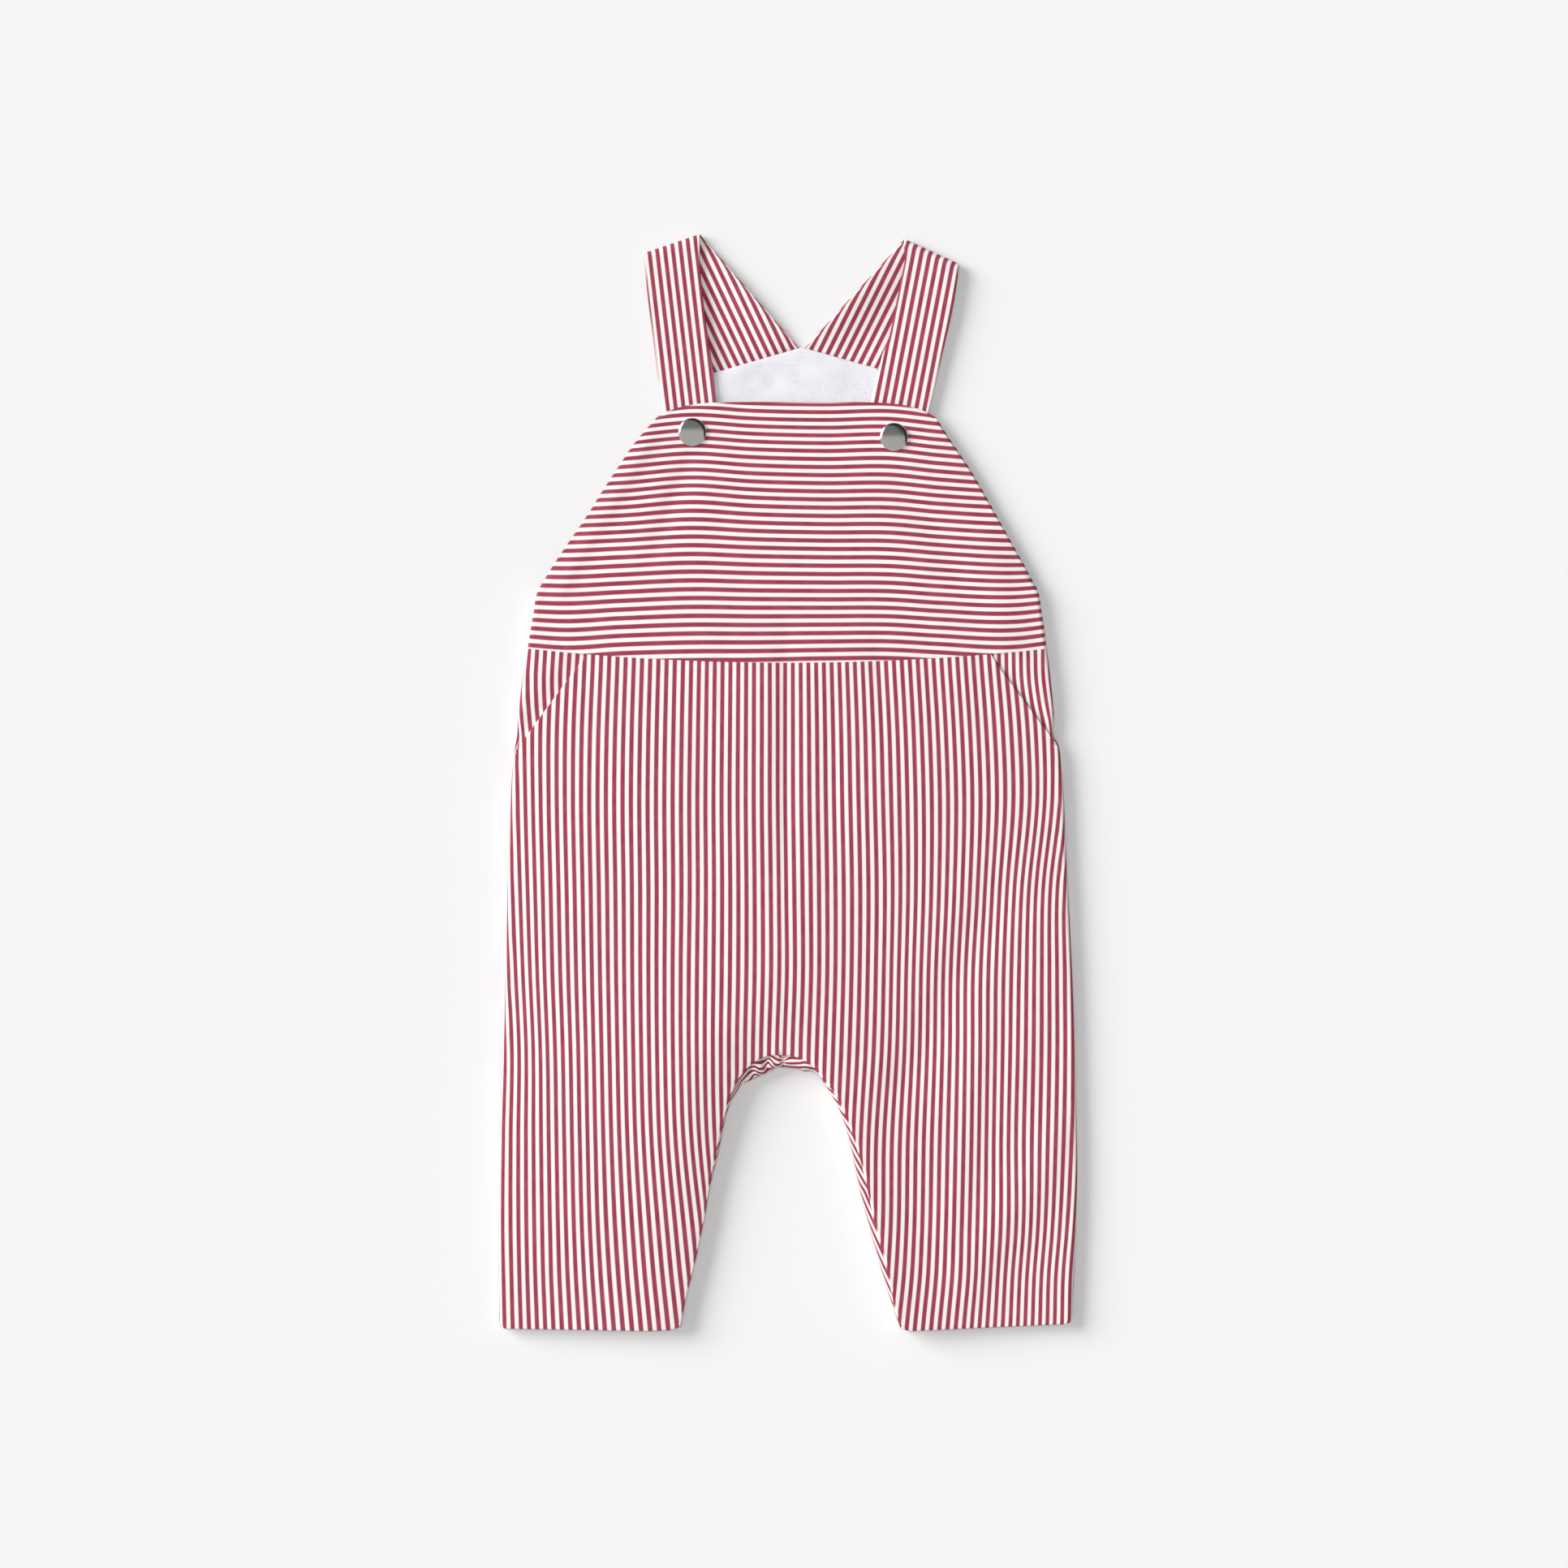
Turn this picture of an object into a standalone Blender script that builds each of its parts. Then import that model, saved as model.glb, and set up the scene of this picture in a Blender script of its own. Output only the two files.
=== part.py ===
"""Toddler dungarees lying flat, front up: striped twill panels, folded straps, two metal caps.

Every panel is one closed wall of cloth. A grid of points on its outer face is worked out from the
laid outline and the height of the garment, and the wall is then thickened inwards.
Lengths are in millimetres here and become metres when a mesh is made. +X points to the right of
the garment as it is seen from above, +Y towards the straps and +Z up from the surface it lies on.
"""
import math
from collections import namedtuple

import bmesh
import bpy
import numpy as np
from mathutils import Vector

MM = 0.001

# Cloth and seams.
WALL = 1.2
LINING_WALL = 1.0
SEAM_GAP = 0.3
HALF_GAP = SEAM_GAP / 2
UNDERLAP_GAP = 0.5

# The rolled side edge: the front and back walls meet half way up it.
SIDE_RADIUS = 4.0
SEAM_Z = SIDE_RADIUS
SHOULDER_Z = 2 * SIDE_RADIUS
SHOULDER_REACH = 38.0
UNDERARM_Y = 102.0
UNDERARM_FADE = 16.0

# The rolled inseam edge, which the edge of the front leg lies on.
ROLL_RADIUS = 2.8
ROLL_FOOT = 6.3
BAND_FOOT_GAP = 0.45
LIP_LENGTH = 5.0
INSEAM_Z = 2 * ROLL_RADIUS + SEAM_GAP + WALL

# Seams and openings on the front.
CENTRE_X = -3.5
WAIST_MID_Y = 64.2
WAIST_RISE = 7.7
WAIST_HALF = 140.0
BIB_EDGE_Y = 195.5
BIB_TOP_RISE = 8.4
BIB_TOP_FLATNESS = 6
BIB_FREE_REACH = 34.0
SLANT_TOP_X = 110.0
SLANT_END_Y = 19.0
FACING_UNDERLAP = 12.0
FACING_END_Y = 8.0

# Back bib and the caps.
PEAK_X = 7.4
PEAK_Y = 232.5
LINING_OVERHANG = 0.8
LINING_INSET = 10.0
LINING_TOP = WALL + SEAM_GAP + LINING_WALL
CAP_RADIUS = 7.5
CAP_REST_RADIUS = 6.0
CAP_SEAT = 0.45
CAP_SEGMENTS = 24

# Straps.
STRAP_FOLD_RADIUS = 3.2
STRAP_FRONT_Z = 5.2
STRAP_TUCK = 28.0

# Crotch band: how far it runs from the centre seam along the arch, to the left and to the right.
BAND_LEFT = 33.0
BAND_RIGHT = 24.0

CREASE_ANGLE = math.radians(40)
CLOTH_ROUGHNESS = 0.85
CAP_ROUGHNESS = 0.15
STRIPED_TWILL = (0.66, 0.36, 0.4, 1.0)
WHITE_JERSEY = (0.83, 0.82, 0.87, 1.0)
POLISHED_METAL = (0.62, 0.62, 0.64, 1.0)

Outline = namedtuple("Outline", "y left right")
Laid = namedtuple("Laid", "y top free_edge")
Inseam = namedtuple("Inseam", "x y show")
Hem = namedtuple("Hem", "x y")
Fold = namedtuple("Fold", "x0 y0 x1 y1 width height")
Pucker = namedtuple("Pucker", "travel width depth")
Strap = namedtuple("Strap", "name back_left back_right fold_left fold_right bib_left bib_right")

# The front outline as it lies, hem to the corners of the bib.
FRONT_OUTLINE = (
    Outline(-294.0, -154.5, 151.2),
    Outline(-254.7, -154.9, 153.4),
    Outline(-211.2, -154.5, 154.9),
    Outline(-167.7, -153.6, 154.2),
    Outline(-124.2, -151.9, 153.2),
    Outline(-80.7, -150.9, 151.2),
    Outline(-37.2, -149.6, 148.9),
    Outline(6.3, -147.6, 146.6),
    Outline(32.4, -144.9, 142.8),
    Outline(58.5, -141.8, 140.3),
    Outline(71.6, -139.6, 138.5),
    Outline(91.1, -136.4, 135.9),
    Outline(104.2, -133.6, 133.4),
    Outline(110.7, -129.8, 130.0),
    Outline(123.8, -121.4, 122.7),
    Outline(143.3, -107.9, 111.8),
    Outline(156.4, -99.6, 104.4),
    Outline(169.4, -90.9, 96.6),
    Outline(182.5, -81.8, 87.6),
    Outline(195.5, -70.5, 79.2),
)

# The back bib follows the front up to the underarm and is narrower above it.
BACK_BIB_OUTLINE = (
    Outline(64.0, -140.7, 139.4),
    Outline(78.0, -138.6, 137.8),
    Outline(91.1, -136.4, 135.9),
    Outline(102.0, -133.0, 132.8),
    Outline(112.0, -122.0, 123.0),
    Outline(126.0, -105.0, 108.0),
    Outline(145.0, -84.0, 89.0),
    Outline(165.0, -67.5, 72.5),
    Outline(185.0, -55.0, 61.0),
    Outline(205.0, -45.0, 53.0),
    Outline(218.6, -39.6, 49.0),
    Outline(221.5, -38.8, 48.1),
)

# Height of the front's outer face in the middle of the garment, and at the bib's free side edge.
LAID_HEIGHT = (
    Laid(-294.0, 9.3, 8.0),
    Laid(-230.0, 11.6, 8.0),
    Laid(-140.0, 12.6, 8.0),
    Laid(0.0, 12.8, 8.0),
    Laid(75.0, 12.2, 6.0),
    Laid(118.0, 11.0, 3.8),
    Laid(150.0, 9.6, 4.0),
    Laid(170.0, 8.4, 5.2),
    Laid(185.0, 7.5, 6.4),
    Laid(205.0, 6.7, 6.7),
)

# The inseam fold from the left hem over the crotch to the right hem. "show" is how far the edge of
# the front leg is set back from it, which leaves the back leg or the crotch band in sight.
INSEAM = (
    Inseam(-57.4, -291.6, 0.0),
    Inseam(-55.7, -280.8, 0.0),
    Inseam(-49.6, -255.6, 0.0),
    Inseam(-44.6, -232.0, 0.0),
    Inseam(-40.9, -212.5, 0.4),
    Inseam(-37.0, -196.8, 1.1),
    Inseam(-33.9, -181.5, 0.8),
    Inseam(-30.0, -169.3, 1.2),
    Inseam(-24.2, -161.2, 3.6),
    Inseam(-16.5, -156.4, 6.4),
    Inseam(-8.3, -152.8, 7.0),
    Inseam(-1.5, -151.6, 6.0),
    Inseam(6.0, -152.2, 4.6),
    Inseam(12.4, -154.4, 2.4),
    Inseam(17.4, -158.6, 0.7),
    Inseam(22.2, -165.2, 1.6),
    Inseam(27.6, -175.4, 1.5),
    Inseam(31.7, -187.2, 2.0),
    Inseam(35.2, -203.0, 3.6),
    Inseam(39.0, -221.0, 4.0),
    Inseam(44.1, -239.8, 3.0),
    Inseam(50.2, -261.6, 2.8),
    Inseam(55.0, -277.4, 1.2),
    Inseam(58.6, -288.0, 0.0),
    Inseam(59.9, -292.3, 0.0),
)

# The hem edges, left leg and right leg.
HEMS = (
    Hem(-154.5, -292.6),
    Hem(-110.0, -293.4),
    Hem(-76.0, -294.0),
    Hem(-64.0, -293.6),
    Hem(-57.4, -291.6),
    Hem(59.9, -292.3),
    Hem(66.0, -293.9),
    Hem(100.0, -292.2),
    Hem(151.2, -290.2),
)

# The largest soft folds of the front: a ridge, or a trough where the height is below zero.
FRONT_FOLDS = (
    Fold(140.0, 0.0, 117.0, -70.0, 12.0, -1.6),
    Fold(118.0, -4.0, 100.0, -58.0, 12.0, 1.1),
    Fold(80.0, -50.0, 93.0, -142.0, 13.0, -1.6),
    Fold(128.0, -205.0, 92.0, -262.0, 12.0, 1.4),
    Fold(142.0, -226.0, 112.0, -278.0, 12.0, -1.3),
    Fold(-98.0, -238.0, -72.0, -282.0, 12.0, -1.5),
    Fold(-118.0, -150.0, -84.0, -214.0, 14.0, 0.9),
    Fold(-51.5, 172.0, -53.0, 118.0, 11.0, 0.9),
    Fold(55.0, 170.0, 54.0, 122.0, 11.0, 0.8),
)
FOLD_EDGE_FADE = 16.0

# Puckers of the gathered crotch band, by their place along the arch.
PUCKERS = (
    Pucker(-25.0, 2.6, 1.5),
    Pucker(-15.5, 2.2, 1.7),
    Pucker(-7.0, 2.0, 1.4),
    Pucker(12.5, 2.4, 0.8),
)

STRAPS = (
    Strap("strap_left", (-39.6, 218.9), (6.0, 232.8), (-77.4, 283.7), (-47.5, 293.9),
          (-66.6, 199.9), (-38.3, 204.2)),
    Strap("strap_right", (8.9, 232.9), (48.3, 221.0), (62.5, 291.3), (91.8, 277.9),
          (43.9, 204.2), (75.7, 197.7)),
)

CAPS = (("button_left", -51.3, 187.7), ("button_right", 56.6, 185.1))


def smooth(rows, key, value, at):
    """One named column of a table, read on a smooth curve through its rows."""
    places = np.array([getattr(row, key) for row in rows], float)
    values = np.array([getattr(row, value) for row in rows], float)
    slopes = np.gradient(values, places)
    index = int(np.clip(np.searchsorted(places, at) - 1, 0, len(places) - 2))
    span = places[index + 1] - places[index]
    t = (at - places[index]) / span
    start = (2 * t**3 - 3 * t**2 + 1) * values[index] + (t**3 - 2 * t**2 + t) * span * slopes[index]
    end = (3 * t**2 - 2 * t**3) * values[index + 1] + (t**3 - t**2) * span * slopes[index + 1]
    return float(start + end)


def swell(share):
    """0 at an edge, rising like a filled cushion to 1."""
    share = min(max(share, 0.0), 1.0)
    return 1 - (1 - share) ** 2


def ease(share):
    """0 to 1 with a level start and end."""
    share = min(max(share, 0.0), 1.0)
    return share * share * (3 - 2 * share)


def mix(a, b, share):
    return a + (b - a) * share


def along(a, b, share):
    """A point between two points of any dimension."""
    return tuple(mix(p, q, share) for p, q in zip(a, b))


# ---- the laid garment ------------------------------------------------------------------------

def half_width(side, y):
    """Distance of the side outline from X = 0. side is -1 on the left and 1 on the right."""
    return side * smooth(FRONT_OUTLINE, "y", "left" if side < 0 else "right", y)


def waist_y(x):
    """The waist seam, which dips in the middle."""
    return WAIST_MID_Y + WAIST_RISE * (x / WAIST_HALF) ** 2


def closed_side(y):
    """1 where the side seam closes the garment, 0 above the underarm."""
    return 1 - ease((y - UNDERARM_Y) / UNDERARM_FADE)


def inseam_curve(steps=240):
    """The inseam fold as dense samples: travel from the centre seam, place, inward normal, show."""
    chord = [0.0]
    for a, b in zip(INSEAM, INSEAM[1:]):
        chord.append(chord[-1] + math.hypot(b.x - a.x, b.y - a.y))
    Knot = namedtuple("Knot", "s x y show")
    knots = [Knot(s, *row) for s, row in zip(chord, INSEAM)]
    at = np.linspace(0, chord[-1], steps)
    x, y, show = (np.array([smooth(knots, "s", name, s) for s in at]) for name in ("x", "y", "show"))
    show = np.maximum(show, 0)
    travel = np.concatenate(([0], np.cumsum(np.hypot(np.diff(x), np.diff(y)))))
    travel -= np.interp(CENTRE_X, x, travel)
    slope_x, slope_y = np.gradient(x, travel), np.gradient(y, travel)
    length = np.hypot(slope_x, slope_y)
    return {"travel": travel, "x": x, "y": y, "nx": -slope_y / length, "ny": slope_x / length,
            "show": show}


CURVE = inseam_curve()


def inseam_at(travel, inward=0.0, from_front_edge=False):
    """A point of the inseam fold, moved into the cloth, or moved from the edge of the front leg."""
    x, y, nx, ny, show = (float(np.interp(travel, CURVE["travel"], CURVE[name]))
                          for name in ("x", "y", "nx", "ny", "show"))
    if from_front_edge:
        inward += show
    return x + nx * inward, y + ny * inward


FRONT_EDGE = np.array([inseam_at(travel, 0.0, True) for travel in CURVE["travel"]])


def fold_height(x, y):
    """What the soft folds add to the height at a place."""
    total = 0.0
    for fold in FRONT_FOLDS:
        run = np.array([fold.x1 - fold.x0, fold.y1 - fold.y0])
        offset = np.array([x - fold.x0, y - fold.y0])
        share = min(max(float(offset @ run) / float(run @ run), 0.0), 1.0)
        distance = float(np.hypot(*(offset - share * run)))
        total += fold.height * math.exp(-((distance / fold.width) ** 2))
    return total


def front_height(x, y):
    """Height of the front's outer face at a place."""
    side = -1 if x < 0 else 1
    inward = half_width(side, y) - side * x
    top = smooth(LAID_HEIGHT, "y", "top", y)
    closed = closed_side(y)
    if inward < SIDE_RADIUS:
        reach = SIDE_RADIUS - max(inward, 0.0)
        rolled = SEAM_Z + math.sqrt(SIDE_RADIUS**2 - reach**2)
    else:
        rolled = mix(SHOULDER_Z, top, swell((inward - SIDE_RADIUS) / SHOULDER_REACH))
    free = mix(smooth(LAID_HEIGHT, "y", "free_edge", y), top, swell(inward / BIB_FREE_REACH))
    to_inseam = float(np.min(np.hypot(FRONT_EDGE[:, 0] - x, FRONT_EDGE[:, 1] - y)))
    inseam_drop = (top - INSEAM_Z) * (1 - swell(to_inseam / SHOULDER_REACH))
    folds = fold_height(x, y) * ease(min(inward, to_inseam) / FOLD_EDGE_FADE)
    return mix(free, rolled, closed) - inseam_drop + folds


# Inward distance and rise, as shares of the side radius, at the columns nearest a side seam. The
# first step stands upright, so that the ends of the front and back walls face each other squarely.
ROLLED_STEPS = ((0.0, 0.0), (0.0, 0.2), (0.13, 0.5), (0.5, 0.87), (1.0, 1.0))
# Distances in from a free bib edge, and from a slant edge, at the same columns.
FREE_STEPS = (0.0, 2.0, 5.0, 9.0, 14.0)
SLANT_STEPS = (0.0, 0.5, 1.6, 3.6, 7.0)


def front_side_points(side, y, sunk):
    """Points of a front wall from its side edge inwards, on its face sunk into the cloth."""
    closed = closed_side(y)
    width = half_width(side, y)
    radius = SIDE_RADIUS - sunk
    points = []
    for (run, rise), free in zip(ROLLED_STEPS, FREE_STEPS):
        inward = mix(free, sunk + run * radius, closed)
        seam_z = SEAM_Z + max(rise * radius, HALF_GAP)
        open_z = front_height(side * (width - free), y) - sunk
        points.append((side * (width - inward), y, mix(open_z, seam_z, closed)))
    return points


def front_point(side, inward, y, sunk):
    """A point of a front wall with its side seam closed, at a distance in from the outline."""
    if inward >= SIDE_RADIUS:
        x = side * (half_width(side, y) - inward)
        return x, y, front_height(x, y) - sunk
    lean = (SIDE_RADIUS - inward) / SIDE_RADIUS
    radius = SIDE_RADIUS - sunk
    z = SEAM_Z + max(radius * math.sqrt(1 - lean**2), HALF_GAP)
    return side * (half_width(side, y) - SIDE_RADIUS + radius * lean), y, z


def back_side_points(width_at, side, y, sunk):
    """Points of a back wall from its side edge to where it lies flat."""
    closed = closed_side(y)
    radius = SIDE_RADIUS - sunk
    points = []
    for (run, rise), free in zip(ROLLED_STEPS, FREE_STEPS):
        inward = mix(free, sunk + run * radius, closed)
        z = SEAM_Z - max(rise * radius, HALF_GAP)
        points.append((side * (width_at(side, y) - inward), y, mix(sunk, z, closed)))
    return points


def across(start, end, count):
    """Points from start to end without start, in the plane."""
    return [along(start[:2], end[:2], k / count) for k in range(1, count + 1)]


# ---- meshes ----------------------------------------------------------------------------------

def plain_material(name, colour, roughness, metallic):
    material = bpy.data.materials.new(name)
    material.use_nodes = True
    shader = material.node_tree.nodes["Principled BSDF"]
    shader.inputs["Base Color"].default_value = colour
    shader.inputs["Roughness"].default_value = roughness
    shader.inputs["Metallic"].default_value = metallic
    material.diffuse_color = colour
    return material


def add_object(name, mesh, colour, roughness, metallic=0.0):
    mesh.materials.append(plain_material(name + "_finish", colour, roughness, metallic))
    item = bpy.data.objects.new(name, mesh)
    bpy.context.collection.objects.link(item)
    item.parent = bpy.data.objects["dungarees"]
    return item


def wall(name, face_at, thickness=WALL, colour=STRIPED_TWILL):
    """A closed wall of cloth between its outer face and the same face moved into the cloth.

    face_at(sunk) gives the face as rows of points in mm, with None where there is no cloth. Going
    down a column and then along a row turns anticlockwise seen from outside.
    """
    shape = bmesh.new()
    outer, inner = (add_points(shape, face_at(sunk)) for sunk in (0.0, thickness))
    partner = {}
    for outer_row, inner_row in zip(outer, inner):
        partner.update(zip(outer_row, inner_row))
    cells = []
    for upper, lower in zip(outer, outer[1:]):
        for c in range(len(upper) - 1):
            corners = (upper[c], lower[c], lower[c + 1], upper[c + 1])
            if all(corners):
                cells.append(corners)
    for corners in cells:
        shape.faces.new(corners)
    rim = [(edge.link_loops[0].vert, edge.link_loops[0].link_loop_next.vert)
           for edge in shape.edges if edge.is_boundary]
    for corners in cells:
        shape.faces.new([partner[vert] for vert in reversed(corners)])
    for a, b in rim:
        shape.faces.new((b, a, partner[a], partner[b]))
    mesh = bpy.data.meshes.new(name)
    shape.to_mesh(mesh)
    shape.free()
    mesh.shade_smooth()
    mesh.set_sharp_from_angle(angle=CREASE_ANGLE)
    return add_object(name, mesh, colour, CLOTH_ROUGHNESS)


def add_points(shape, grid):
    return [[shape.verts.new(Vector(point) * MM) if point else None for point in row]
            for row in grid]


def left_to_right(side, row):
    """A row listed from the side seam inwards, put in order of rising X."""
    return row if side < 0 else row[::-1]


def right_to_left(side, row):
    return left_to_right(side, row)[::-1]


# ---- bibs ------------------------------------------------------------------------------------

BIB_ROWS = (0.0, 0.08, 0.17, 0.25, 0.33, 0.42, 0.51, 0.6, 0.69, 0.78, 0.87, 0.94, 1.0)
BIB_ACROSS = 16


def bib_grid(edge_points, top_y, columns, overhang=0.0):
    """Rows of (x, y, z or None) from a shaped top edge down to the waist seam.

    edge_points(side, share) gives the columns at a side edge, share 0 at the waist and 1 on top.
    """
    heads = [edge_points(side, 1.0)[0][:2] for side in (-1, 1)]
    foot_y = edge_points(-1, 0.0)[0][1]
    grid = []
    for share in BIB_ROWS[::-1]:
        left, right = edge_points(-1, share), edge_points(1, share)
        inner = [(*point, None) for point in across(left[-1], right[-1], columns)[:-1]]
        row = []
        for x, _, z in left + inner + right[::-1]:
            head_y = float(np.interp(x, [heads[0][0], heads[1][0]], [heads[0][1], heads[1][1]]))
            foot_bend = (waist_y(x) + HALF_GAP - foot_y) * (1 - share) ** 2
            head_bend = (top_y(x) + overhang - head_y) * share**3
            row.append((x, mix(foot_y, head_y, share) + foot_bend + head_bend, z))
        grid.append(row)
    return grid


def front_bib():
    """The front bib: its side seams are short, and above the underarm its sides hang free."""
    foot = waist_y(WAIST_HALF)
    middle = (FRONT_OUTLINE[-1].left + FRONT_OUTLINE[-1].right) / 2
    half = (FRONT_OUTLINE[-1].right - FRONT_OUTLINE[-1].left) / 2

    def top_y(x):
        reach = min(abs((x - middle) / half), 1.0)
        return BIB_EDGE_Y + BIB_TOP_RISE * (1 - reach**BIB_TOP_FLATNESS)

    def face_at(sunk):
        def edge_points(side, share):
            return front_side_points(side, mix(foot, BIB_EDGE_Y, share), sunk)

        grid = bib_grid(edge_points, top_y, BIB_ACROSS)
        return [[(x, y, front_height(x, y) - sunk if z is None else z) for x, y, z in row]
                for row in grid]

    return wall("front_bib", face_at)


def back_half_width(side, y):
    return side * smooth(BACK_BIB_OUTLINE, "y", "left" if side < 0 else "right", y)


def back_corner(side):
    """A top corner of the back bib, one seam gap below the outer corner of its strap."""
    x, y = STRAPS[0].back_left if side < 0 else STRAPS[1].back_right
    return x, y - SEAM_GAP


def back_top_y(x):
    """The peaked top edge of the back bib, straight from its peak to its corners."""
    corner_x, corner_y = back_corner(-1 if x < PEAK_X else 1)
    return mix(PEAK_Y, corner_y, min((x - PEAK_X) / (corner_x - PEAK_X), 1.0))


def back_edge_y(side, share):
    """How high on the side edge of the back bib a row ends."""
    return mix(waist_y(WAIST_HALF), back_corner(side)[1], share)


def back_bib():
    """The back bib, flat where it rests, with its side seams rolled up to meet the front."""
    def face_at(sunk):
        def edge_points(side, share):
            return back_side_points(back_half_width, side, back_edge_y(side, share), sunk)

        grid = bib_grid(edge_points, back_top_y, BIB_ACROSS // 2)
        return [[(x, y, sunk if z is None else z) for x, y, z in row[::-1]] for row in grid]

    return wall("back_bib", face_at)


def back_lining():
    """The lining lies on the back bib and covers the seam at its top edge."""
    def edge_points(side, share):
        y = back_edge_y(side, share)
        inset = LINING_INSET * closed_side(y - UNDERARM_FADE)
        return [(side * (back_half_width(side, y) - inset), y, None)]

    def face_at(sunk):
        grid = bib_grid(edge_points, back_top_y, BIB_ACROSS // 2, LINING_OVERHANG)
        return [[(x, y, LINING_TOP - sunk) for x, y, _ in row] for row in grid]

    return wall("back_lining", face_at, LINING_WALL, WHITE_JERSEY)


# ---- legs ------------------------------------------------------------------------------------

# Where the rows of a leg meet the side seam above the crotch row, closer at the pocket's end.
FRONT_UPPER_ROWS = (53.0, 40.0, 31.0, 25.5, 21.5, SLANT_END_Y,
                    5.0, -9.0, -23.0, -37.0, -51.0, -65.0, -80.0)
BACK_UPPER_ROWS = (52.0, 24.0, -4.0, -32.0, -62.0)
CROTCH_ROW_Y = -94.0
BAND_ROWS = 6
LOWER_ROWS = 11
LOWER_LEAD = 0.92
LEG_ACROSS = 12
BACK_ACROSS = 6
FACING_ROWS = FRONT_UPPER_ROWS[:6] + (FACING_END_Y,)
FACING_ACROSS = 3


def lower_travels(side):
    """Places along the inseam where the rows below the crotch end, and the length to the hem."""
    band_end = BAND_LEFT if side < 0 else BAND_RIGHT
    total = abs(CURVE["travel"][0 if side < 0 else -1])
    beside_band = [band_end * k / BAND_ROWS for k in range(1, BAND_ROWS)]
    below = [mix(band_end + HALF_GAP, total, k / LOWER_ROWS) for k in range(LOWER_ROWS + 1)]
    return [side * travel for travel in beside_band + below], total


def slant_x(y):
    """Distance of the slant pocket's edge from X = 0."""
    end_width = half_width(-1, SLANT_END_Y)
    return mix(end_width, SLANT_TOP_X, (y - SLANT_END_Y) / (waist_y(SLANT_TOP_X) - SLANT_END_Y))


def leg_rows(side, edge_points, inner_inward, from_front_edge, columns, side_ys):
    """Rows of a leg from the waist to the hem, each from the side inwards, with its travel.

    side_ys places the rows above the crotch, which end at the centre seam. The rows below them
    end along the inseam.
    """
    inner_x = CENTRE_X + side * HALF_GAP
    corner_y = inseam_at(0.0, inner_inward, from_front_edge)[1]
    ends = []
    for y in side_ys + (CROTCH_ROW_Y,):
        share = (side_ys[0] - y) / (side_ys[0] - CROTCH_ROW_Y)
        ends.append((y, (inner_x, mix(waist_y(inner_x), corner_y, share)), 0.0))
    travels, total = lower_travels(side)
    hem_side_y = hem_y(side * half_width(side, HEMS[0].y))
    for travel in travels:
        y = mix(CROTCH_ROW_Y, hem_side_y, (abs(travel) / total) ** LOWER_LEAD)
        ends.append((y, inseam_at(travel, inner_inward, from_front_edge), travel))
    rows = []
    for y, end, travel in ends:
        start = edge_points(y)
        inner = [(*point, None) for point in across(start[-1], end, columns)]
        rows.append((start + inner, travel))
    return rows


def hem_y(x):
    return float(np.interp(x, [hem.x for hem in HEMS], [hem.y for hem in HEMS]))


def fit_waist(row):
    """Bend a leg's first row to the waist seam."""
    return [(x, waist_y(x) - HALF_GAP, z) for x, _, z in row]


def fit_hem(row):
    """Bend a leg's last row to the hem."""
    return [(x, hem_y(x), z) for x, _, z in row]


def front_leg(side, name):
    """A front leg with its slant pocket edge, its centre seam, crotch arch and inseam edge."""
    def face_at(sunk):
        def edge_points(y):
            if y < SLANT_END_Y:
                return front_side_points(side, y, sunk)
            slant = max(half_width(side, y) - slant_x(y), 0.0)
            return [front_point(side, slant + step, y, sunk) for step in SLANT_STEPS]

        side_ys = (waist_y(SLANT_TOP_X),) + FRONT_UPPER_ROWS
        rows = leg_rows(side, edge_points, 0.0, True, LEG_ACROSS, side_ys)
        grid = [row for row, _ in rows]
        grid[0], grid[-1] = fit_waist(grid[0]), fit_hem(grid[-1])
        return [left_to_right(side, [(x, y, front_height(x, y) - sunk if z is None else z)
                                     for x, y, z in row]) for row in grid]

    return wall(name, face_at)


ROLL_TURNS = (0, 35, 65, 90, 115, 145, 180)


def roll_points(travel, sunk, lip=LIP_LENGTH):
    """Points round the inseam fold, from its foot on the surface to the end of its lip."""
    points = []
    for angle in ROLL_TURNS:
        turn = math.radians(angle)
        inward = ROLL_RADIUS - (ROLL_RADIUS - sunk) * math.sin(turn)
        z = ROLL_RADIUS - (ROLL_RADIUS - sunk) * math.cos(turn)
        points.append((*inseam_at(travel, inward), z))
    points.append((*inseam_at(travel, lip, True), 2 * ROLL_RADIUS - sunk))
    return points


def back_leg(side, name):
    """A back leg, flat on the surface, rolled up at its side seam and round its inseam."""
    side_ys = (waist_y(WAIST_HALF),) + BACK_UPPER_ROWS
    band_end = BAND_LEFT if side < 0 else BAND_RIGHT
    no_roll = [None] * (len(ROLL_TURNS) + 1)

    def face_at(sunk):
        def edge_points(y):
            return back_side_points(half_width, side, y, sunk)

        rows = leg_rows(side, edge_points, ROLL_FOOT, False, BACK_ACROSS, side_ys)
        flat = [[(x, y, sunk if z is None else z) for x, y, z in row] for row, _ in rows]
        flat[0], flat[-1] = fit_waist(flat[0]), fit_hem(flat[-1])
        rolls = [roll_points(travel, sunk) if abs(travel) > band_end else no_roll
                 for _, travel in rows]
        return [right_to_left(side, row + roll) for row, roll in zip(flat, rolls)]

    return wall(name, face_at)


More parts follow.
